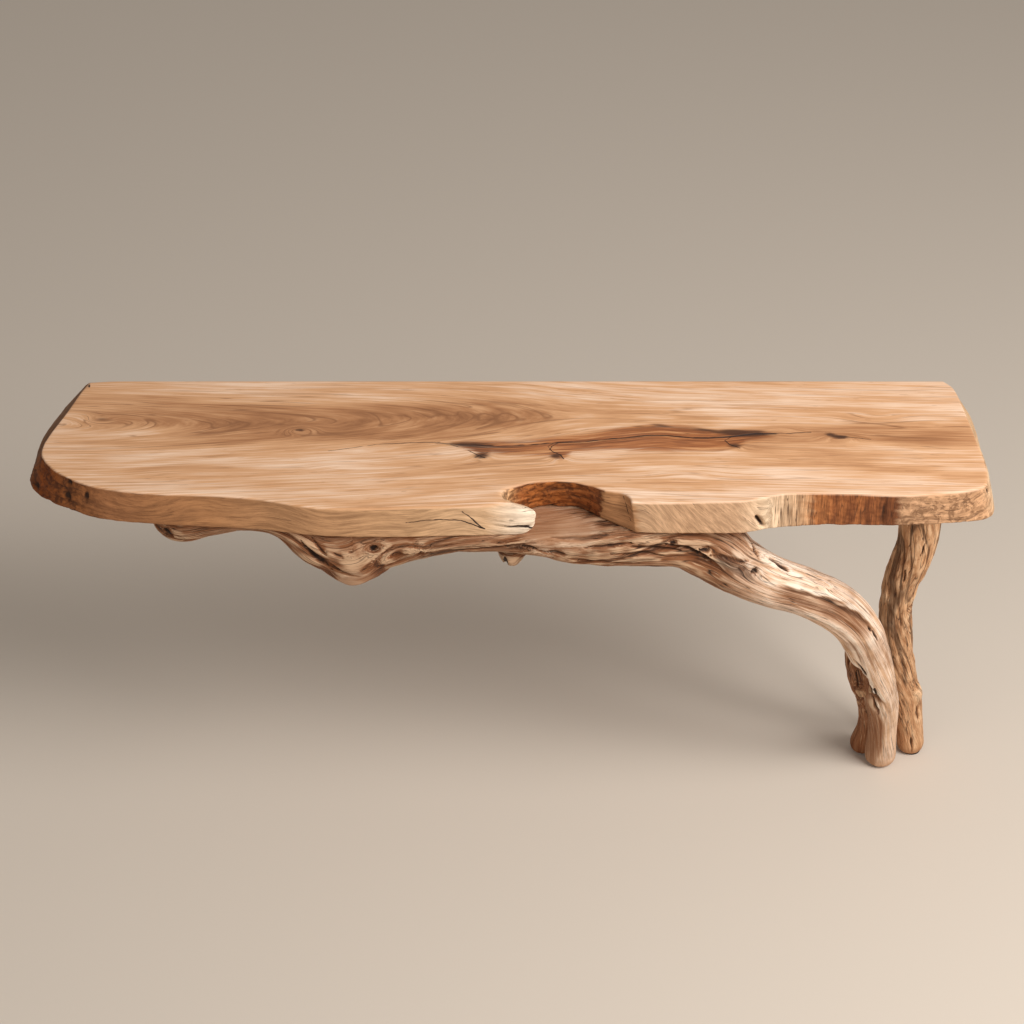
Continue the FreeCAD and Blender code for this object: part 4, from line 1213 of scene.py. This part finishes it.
def slab_figure(points):
    """Growth ring distance, old wood, heart and darkest core at each point of the slab."""
    x = points[:, 0]
    y = points[:, 1]
    climb = soft_least(x, PITH_LEVEL, PITH_EASE) - PITH_FROM
    rise = PITH_LOW + PITH_SLOPE * climb + 0.005 * np.sin(x * 9)
    height = rise + (TOP - points[:, 2]) * 0.8
    pith = PITH_Y + PITH_SWAY * np.sin(x * 4.0 + 1.0)
    arched = np.sqrt((y - pith) ** 2 + height ** 2)
    straight = 0.106 + 0.62 * np.sqrt((y - pith) ** 2 + 0.01 ** 2) + (TOP - points[:, 2]) * 0.5
    rings = arched + (straight - arched) * eased(*STRAIGHT_FROM, x)
    for knot_x, knot_y, length, width, bend in KNOTS:
        rings = rings + bend * MM * blot(points, knot_x, knot_y, length, width)
    brown = blots(points, OLD_WOOD)
    above = y - line_height(HEART_LOWER, x)
    below = line_height(HEART_UPPER, x) - y
    heart = eased(-0.022, 0.020, above) * eased(-0.016, 0.020, below)
    heart *= between(HEART_START, HEART_END, x)
    core = blots(points, DARK_SPOTS)
    rim = between(RIM_START, RIM_END, x)
    uneven = 0.55 + 0.3 * np.sin(x * 55) + 0.25 * np.sin(x * 131 + y * 200)
    core += 0.6 * rim * uneven * np.exp(-((below - 0.006) / 0.006) ** 2)
    return rings, np.clip(brown, 0, 1), heart, np.clip(core, 0, 1)


def edge_marks(outline, travel, heights):
    """Depth, dark and swirl of the marks over the edge."""
    sink = np.zeros(heights.shape)
    dark = np.zeros(heights.shape)
    swirl = np.zeros(heights.shape)
    perimeter = travel[-1] + np.linalg.norm(outline[0] - outline[-1])
    for x, y, z, length, width, depth, turn, shadow, bend in EDGE_MARKS:
        along = travel - travel[column_at(outline, x, y)]
        along = (np.mod(along + perimeter / 2, perimeter) - perimeter / 2)[:, None]
        run, off = oval_place(along, heights - z * MM, turn, length, width)
        sink += depth * MM * np.exp(-run ** 4 - off ** 2)
        dark = np.maximum(dark, shadow * np.exp(-run ** 4 - 1.5 * off ** 2))
        swirl += bend * MM * np.exp(-(run / 2.2) ** 2 - (off / 2.0) ** 2)
    return sink, dark, swirl


def edge_band(outline, lead, outward):
    """Points of the edge in columns from the underside up, and their rise above it."""
    top_round = worn_round(outline, TOP_ROUND, WORN_EDGES)
    rise, inset = edge_profile(top_round, worn_round(outline, LOWER_ROUND, WORN_LOWER_EDGES))
    low_share = 1 - np.clip(rise / (THICKNESS - TOP_ROUND), 0, 1)
    sides = [
        drawn_in(outline + lead * low_share[:, level, None], outward, inset[:, level])
        for level in range(rise.shape[1])
    ]
    return np.dstack([np.stack(sides, axis=1), UNDERSIDE + rise]), rise


def slab_skin(band, crack):
    """Faces of the whole slab, and the points of its top that the band has not."""
    count, levels = band.shape[:2]
    share = np.linspace(0, 1, len(crack))
    widths = GROOVE_GAIN * np.sqrt(np.clip(4 * share * (1 - share), 0, 1)) + GROOVE_END
    places, triangles, sunk, loop_index = slab_top_fill(band[:, -1, :2], crack, widths)
    index = np.arange(count * levels).reshape(count, levels)
    beside = np.roll(index, -1, axis=0)
    around = np.stack([index[:, :-1], beside[:, :-1], beside[:, 1:], index[:, 1:]], axis=2)
    faces = around.reshape(-1, 4).tolist()
    added = []
    renamed = []
    for place, deep, rim in zip(places, sunk, loop_index):
        if rim >= 0:
            renamed.append(int(index[rim, -1]))
        else:
            renamed.append(count * levels + len(added))
            added.append((place[0], place[1], TOP - CRACK_DEPTH * deep))
    faces += [[renamed[i] for i in face] for face in triangles]
    _, below, origins = triangulated(band[:, 0, :2], [], count)
    faces += [[int(index[origins[i][0], 0]) for i in reversed(face)] for face in below]
    return faces, added


def edge_grain(outline, travel, heights, swirl, upright):
    """Grain that lies along the edge, grain that stands up it, and how plentiful the thin lines are."""
    along = np.broadcast_to(travel[:, None], heights.shape)
    sway = 0.008 * np.sin(along * 17) + 0.004 * np.sin(along * 41 + 1)
    front = outline[:, 0] * (outline[:, 1] < SLANT_FRONT)
    slope = SLANT * between(SLANT_START, SLANT_END, front)
    slanted = np.cumsum(slope * np.gradient(travel))[:, None]
    lying = np.stack([along + 2 * slanted, heights + sway + swirl + slanted, swirl], axis=2)
    standing = np.stack([heights, along, np.zeros_like(heights)], axis=2)
    plain = eased(*PLAIN_START, outline[:, :1]) * (outline[:, :1] < 0)
    lines = 0.2 + 0.6 * upright - 0.9 * slope[:, None] - 0.8 * plain
    return lying, standing, lines


def store_figure(piece, points, crack):
    """Keep the growth rings, the old wood, the heart and the crack of the top on the slab."""
    rings, brown, heart, core = slab_figure(points)
    flow = points.copy()
    flow[:, 1] -= np.interp(flow[:, 0], crack[:, 0], crack[:, 1])
    store(piece, "figure", np.stack([points[:, 0], rings, 0.12 * points[:, 1]], axis=1))
    store(piece, "flow", flow)
    store(piece, "gape", line_height(CRACK_GAPE, flow[:, 0]))
    store(piece, "brown", brown)
    store(piece, "heart", heart)
    store(piece, "core", core)


def build_slab():
    outline, lead, travel = edge_columns()
    tangent = unit(np.roll(outline, -1, axis=0) - np.roll(outline, 1, axis=0))
    outward = np.stack([tangent[:, 1], -tangent[:, 0]], axis=1)
    band, rise = edge_band(outline, lead, outward)
    crack = finely(CRACK, CRACK_STEP)
    faces, added = slab_skin(band, crack)

    heights = band[:, :, 2].copy()
    zones = zone_values(travel, heights, outline)
    edge = eased(0.0, TOP_ROUND, THICKNESS - rise)
    sink, dark, swirl = edge_marks(outline, travel, heights)
    unmarked = np.vstack([band.reshape(-1, 3), added])
    band[:, :, :2] -= outward[:, None] * (sink * edge)[:, :, None]
    points = np.vstack([band.reshape(-1, 3), added])
    from_tip = np.linalg.norm(points[:, :2] - np.array(TONGUE_TIP), axis=1)
    drop = TONGUE_DROP * np.exp(-(from_tip / TONGUE_REACH) ** 2)
    points[:, 2] -= drop * (points[:, 2] - UNDERSIDE) / THICKNESS

    def store_edge(name, values, rest):
        shape = values.shape[2:]
        filler = np.broadcast_to(rest, (len(added),) + shape)
        store(piece, name, np.concatenate([values.reshape(-1, *shape), filler]))

    piece = new_piece("slab_top", points, faces)
    upright = zones[:, :, 4]
    lying, standing, lines = edge_grain(outline, travel, heights, swirl, upright)
    colours = np.dstack([zones[:, :, :3], np.ones(heights.shape)])
    store_edge("grain", lying, (0.0, 0.0, 0.0))
    store_edge("standing", standing, (0.0, 0.0, 0.0))
    store_edge("upright", upright, 0.0)
    store_edge("lines", lines, 0.0)
    store_edge("rough", zones[:, :, 3] / (3 * MM) * edge, 0.0)
    store_edge("edge", edge, 0.0)
    store_edge("tint", colours, (0.5, 0.4, 0.3, 1.0))
    store_edge("hollow", dark * edge, 0.0)
    store_figure(piece, unmarked, crack)
    return piece, outline, travel


def crack_mask(tree, place, cracks):
    """Darkest of all runs of cracks that open towards their ends, places and half widths in metres."""
    mask = None
    for places, half_width in cracks:
        for number, (start, end) in enumerate(zip(places[:-1], places[1:])):
            opening = half_width * (0.5 + 0.5 * (number + 1) / (len(places) - 1))
            values = {"Place": place, "Start": tuple(start), "End": tuple(end), "Half Width": opening}
            run = placed_group(tree, CRACK_LINE, values)["Mask"]
            mask = run if mask is None else calc(tree, "MAXIMUM", mask, run)
    return mask


def unsteady(tree, place, scale, sway):
    """A place moved to and fro a little, so that straight runs look torn."""
    scaled = vector_calc(tree, "MULTIPLY", place, (scale, scale, scale))
    torn = put(tree, "ShaderNodeTexNoise", {"Vector": scaled, "Scale": 1.0, "Detail": 1.0})
    centred = vector_calc(tree, "SUBTRACT", torn.outputs["Color"], (0.5, 0.5, 0.5))
    return vector_calc(tree, "ADD", place, vector_calc(tree, "MULTIPLY", centred, (sway, sway, sway)))


def tone_colour(tree, tone, stops):
    """Colour along a row of (position, colour) stops."""
    node = put(tree, "ShaderNodeValToRGB", {0: tone})
    row = node.color_ramp.elements
    while len(row) < len(stops):
        row.new(0.5)
    for element, (position, colour) in zip(row, stops):
        element.position = position
        element.color = colour
    return node.outputs[0]


def top_wood(tree, place):
    """Colour of the sanded top, and its fine fibres."""
    figure = kept(tree, "figure")["Vector"]
    fibre = placed_group(tree, FIBRE, {"Grain": figure, "Length": 0.30, "Width": 0.011, "Plenty": 0.8})
    broad = noise(tree, vector_calc(tree, "MULTIPLY", figure, (2.6, 26.0, 26.0)), 1.0, 4.0, 0.6, 0.9)
    cloud = noise(tree, vector_calc(tree, "MULTIPLY", place, (3.0, 11.0, 11.0)), 1.0, 3.0)
    old = kept(tree, "brown")["Fac"]
    tone = swayed(tree, broad, 0.62, 0.69)
    tone = swayed(tree, fibre["Streak"], 0.3, tone)
    tone = swayed(tree, fibre["Fine"], 0.7, tone)
    tone = swayed(tree, cloud, 0.6, tone)
    tone = calc(tree, "MULTIPLY_ADD", old, -0.37, tone)
    colour = tone_colour(tree, tone, SAPWOOD)
    thin = times(tree, fibre["Lines"], ramp(tree, old, 0.0, 0.6, 0.35, 0.7))
    colour = blend(tree, thin, colour, shade(140, 92, 58))
    colour = blend(tree, times(tree, fibre["Pores"], 0.35), colour, shade(150, 100, 62))
    return colour, fibre["Fine"]


def heart_over(tree, colour, flow, fine):
    """The top's colour with the streaked heart and the darkest spots laid over it."""
    fibre = placed_group(tree, FIBRE, {"Grain": flow, "Length": 0.16, "Width": 0.008, "Plenty": 0.3})
    ragged = swayed(tree, fibre["Streak"], 1.7, kept(tree, "heart")["Fac"])
    heart = ramp(tree, ragged, 0.3, 0.85, 0.0, 0.95)
    colour = blend(tree, heart, colour, tone_colour(tree, fibre["Streak"], HEARTWOOD))
    thin = times(tree, heart, times(tree, fibre["Lines"], 0.75))
    colour = blend(tree, thin, colour, shade(80, 45, 27))
    core = swayed(tree, fine, 0.8, kept(tree, "core")["Fac"])
    return blend(tree, ramp(tree, core, 0.2, 0.8, 0.0, 0.9), colour, shade(70, 41, 26))


def top_openings(tree, place, flow):
    """Mask of the main crack and of the lesser cracks of the top."""
    beside = put(tree, "ShaderNodeSeparateXYZ", {0: unsteady(tree, flow, 45.0, 0.004)}).outputs[1]
    beside = calc(tree, "SUBTRACT", calc(tree, "ABSOLUTE", beside), kept(tree, "gape")["Fac"])
    main_crack = ramp(tree, beside, -0.0008, 0.0005, 0.95, 0.0)
    flat = vector_calc(tree, "MULTIPLY", place, (1.0, 1.0, 0.0))
    lesser = [([(x * MM, y * MM, 0.0) for x, y in line], half * MM) for line, half in TOP_CRACKS]
    return calc(tree, "MAXIMUM", main_crack, crack_mask(tree, unsteady(tree, flat, 45.0, 0.004), lesser))


def edge_wood(tree, place, edge_place):
    """Colour of the live edge, and its fine fibres."""
    standing = vector_calc(tree, "MULTIPLY", edge_place, (1.2, 1.1, 1.0))
    upright = kept(tree, "upright")["Fac"]
    both = {0: upright, 4: kept(tree, "grain")["Vector"], 5: standing}
    grain = put(tree, "ShaderNodeMix", both, data_type="VECTOR").outputs[1]
    lines = kept(tree, "lines")["Fac"]
    fibre = placed_group(tree, FIBRE, {"Grain": grain, "Length": 0.08, "Width": 0.0085, "Plenty": lines})
    tint = kept(tree, "tint")["Color"]
    dim = vector_calc(tree, "MULTIPLY", tint, (0.38, 0.33, 0.28))
    bright = vector_calc(tree, "MULTIPLY", tint, (1.3, 1.34, 1.38))
    strong = ramp(tree, upright, 0.0, 1.0, 0.62, 1.0)
    dark_streak = times(tree, ramp(tree, fibre["Streak"], 0.3, 0.6, 0.85, 0.0), strong)
    pale_streak = times(tree, ramp(tree, fibre["Streak"], 0.5, 0.7, 0.0, 0.8), strong)
    colour = blend(tree, pale_streak, blend(tree, dark_streak, tint, dim), bright)
    colour = blend(tree, ramp(tree, fibre["Fine"], 0.5, 0.75, 0.0, 0.7), colour, dim)
    colour = blend(tree, times(tree, fibre["Lines"], 0.8), colour, shade(70, 41, 24))
    burl = ramp(tree, kept(tree, "rough")["Fac"], 0.3, 0.9)
    mottle = noise(tree, unsteady(tree, place, 45.0, 0.03), 75.0, 4.0, 0.6)
    colour = blend(tree, times(tree, burl, ramp(tree, mottle, 0.5, 0.4, 0.0, 0.9)), colour, dim)
    colour = blend(tree, times(tree, burl, ramp(tree, mottle, 0.54, 0.63, 0.0, 0.8)), colour, bright)
    return colour, fibre["Fine"]


def edge_openings(tree, edge_place, outline, travel):
    """Mask of the cracks in the edge."""
    cracks = []
    for line, half_width in EDGE_CRACKS:
        bends = [(z * MM, float(travel[column_at(outline, x, y)]), 0.0) for x, y, z in line]
        cracks.append((bends, half_width * MM))
    return crack_mask(tree, unsteady(tree, edge_place, 70.0, 0.004), cracks)


def slab_finish(outline, travel):
    finish, tree, shader = new_finish("slab wood")
    place = own_place(tree)
    colour, top_fine = top_wood(tree, place)
    flow = kept(tree, "flow")["Vector"]
    colour = heart_over(tree, colour, flow, top_fine)
    colour = blend(tree, top_openings(tree, place, flow), colour, shade(46, 27, 17))
    edge_place = kept(tree, "standing")["Vector"]
    side, side_fine = edge_wood(tree, place, edge_place)
    edge = kept(tree, "edge")["Fac"]
    colour = blend(tree, edge, colour, side)
    colour = blend(tree, dirt_and_shade(tree, side_fine, 0.55), colour, shade(58, 34, 20))
    open_side = edge_openings(tree, edge_place, outline, travel)
    colour = blend(tree, times(tree, open_side, edge), colour, shade(44, 26, 16))
    roughness = ramp(tree, edge, 0.0, 1.0, 0.5, 0.75)
    heights = {0: edge, 2: top_fine, 3: times(tree, side_fine, 2.5)}
    height = put(tree, "ShaderNodeMix", heights, data_type="FLOAT").outputs[0]
    surface(tree, shader, colour, roughness, rough_surface(tree, height, 0.0005, 0.7))
    shader["Specular IOR Level"].default_value = 0.35
    return finish


SLAB_EASE = 0.0002
SLAB_WEATHER = {
    "Lump Size": 0.022, "Lump Depth": 0.006,
    "Strand Length": 0.10, "Strand Spacing": 0.022, "Strand Depth": 0.0015,
    "Furrow Length": 0.06, "Furrow Spacing": 0.008, "Furrow Depth": 0.0014,
    "Seed": 21.0,
}
slab, slab_outline, slab_travel = build_slab()
through_tree(slab, WEATHERING, dict(SLAB_WEATHER, Finish=slab_finish(slab_outline, slab_travel)))
slab_low, slab_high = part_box("slab_top")
keep_inside(slab, tuple(slab_low), tuple(slab_high), SLAB_EASE)
dress(slab, "slab_top")


# Finishes of the small parts, which keep their CAD shapes.
def turned_wood(name, pale, brown):
    """Plain wood with its grain along X."""
    finish, tree, shader = new_finish(name)
    place = own_place(tree)
    fibre = placed_group(tree, FIBRE, {"Grain": place, "Length": 0.06, "Width": 0.004})
    colour = blend(tree, ramp(tree, fibre["Streak"], 0.35, 0.65), brown, pale)
    colour = blend(tree, times(tree, fibre["Pores"], 0.5), colour, brown)
    roughness = ramp(tree, fibre["Fine"], 0.2, 0.8, 0.6, 0.8)
    surface(tree, shader, colour, roughness, rough_surface(tree, fibre["Fine"], 0.0003))
    return finish


def speckled(name, first, second, grain_size, least_rough, most_rough, relief, metallic=0.0):
    """Even finish of two close colours in fine grains."""
    finish, tree, shader = new_finish(name)
    place = own_place(tree)
    grains = noise(tree, place, 1 / grain_size, 3.0, 0.6)
    colour = blend(tree, ramp(tree, grains, 0.35, 0.65), first, second)
    roughness = ramp(tree, grains, 0.3, 0.7, least_rough, most_rough)
    surface(tree, shader, colour, roughness, rough_surface(tree, grains, relief))
    shader["Metallic"].default_value = metallic
    return finish


def refinish(finish, *names):
    for name in names:
        cad[name].data.materials.clear()
        cad[name].data.materials.append(finish)


refinish(
    turned_wood("plug wood", shade(188, 148, 114), shade(140, 98, 66)), "limb_plugs", "inner_leg_plugs",
)
refinish(turned_wood("hardwood", shade(204, 168, 124), shade(166, 124, 82)), "right_leg_dowel")
refinish(
    speckled(
        "zinc plating", shade(200, 199, 195), shade(178, 176, 170),
        grain_size=0.004, least_rough=0.32, most_rough=0.46, relief=0.00004, metallic=1.0,
    ),
    "limb_screws", "limb_washers", "inner_leg_screws", "bracket_screws",
)
refinish(
    speckled(
        "black powder coat", shade(40, 40, 41), shade(30, 30, 31),
        grain_size=0.0012, least_rough=0.5, most_rough=0.62, relief=0.00012,
    ),
    "wall_bracket_left", "wall_bracket_centre", "wall_bracket_right",
)
refinish(
    speckled(
        "pressed felt", shade(66, 52, 44), shade(44, 34, 28),
        grain_size=0.0016, least_rough=0.9, most_rough=1.0, relief=0.0006,
    ),
    "foot_pad_front", "foot_pad_inner", "foot_pad_right",
)


# Floor, light and camera.
FLOOR_HALF = 9


def new_floor():
    corners = [(FLOOR_HALF * x, FLOOR_HALF * y, 0) for x, y in ((-1, -1), (1, -1), (1, 1), (-1, 1))]
    floor = new_piece("floor", corners, [(0, 1, 2, 3)])
    finish, _, shader = new_finish("pale floor")
    shader["Base Color"].default_value = shade(212, 198, 182)
    shader["Roughness"].default_value = 0.9
    floor.data.materials.append(finish)


def new_lamp(name, place, target, power, width):
    data = bpy.data.lights.new(name, "AREA")
    data.energy = power
    data.size = width
    lamp = bpy.data.objects.new(name, data)
    lamp.location = place
    lamp.rotation_euler = (Vector(target) - Vector(place)).to_track_quat("-Z", "Y").to_euler()
    bpy.context.scene.collection.objects.link(lamp)


def new_world():
    world = bpy.data.worlds.new("studio")
    world.use_nodes = True
    back = world.node_tree.nodes["Background"].inputs
    back["Color"].default_value = (1.0, 0.97, 0.94, 1.0)
    back["Strength"].default_value = 0.33
    bpy.context.scene.world = world


new_floor()
new_world()
new_lamp("key", place=(2.6, -1.9, 3.3), target=(0.1, 0, 0.5), power=175, width=2.0)
new_lamp("fill", place=(-1.5, -3.2, 2.4), target=(0, 0, 0.5), power=22, width=3.0)

LENS = 100
SENSOR = 36
CAMERA_PLACE = (0.0048, -4.058, 3.4423)
CAMERA_PITCH = 55
camera_data = bpy.data.cameras.new("camera")
camera_data.lens = LENS
camera_data.sensor_width = SENSOR
camera = bpy.data.objects.new("camera", camera_data)
camera.location = CAMERA_PLACE
camera.rotation_euler = (math.radians(CAMERA_PITCH), 0, 0)
bpy.context.scene.collection.objects.link(camera)
bpy.context.scene.camera = camera
bpy.context.scene.view_settings.view_transform = "Standard"
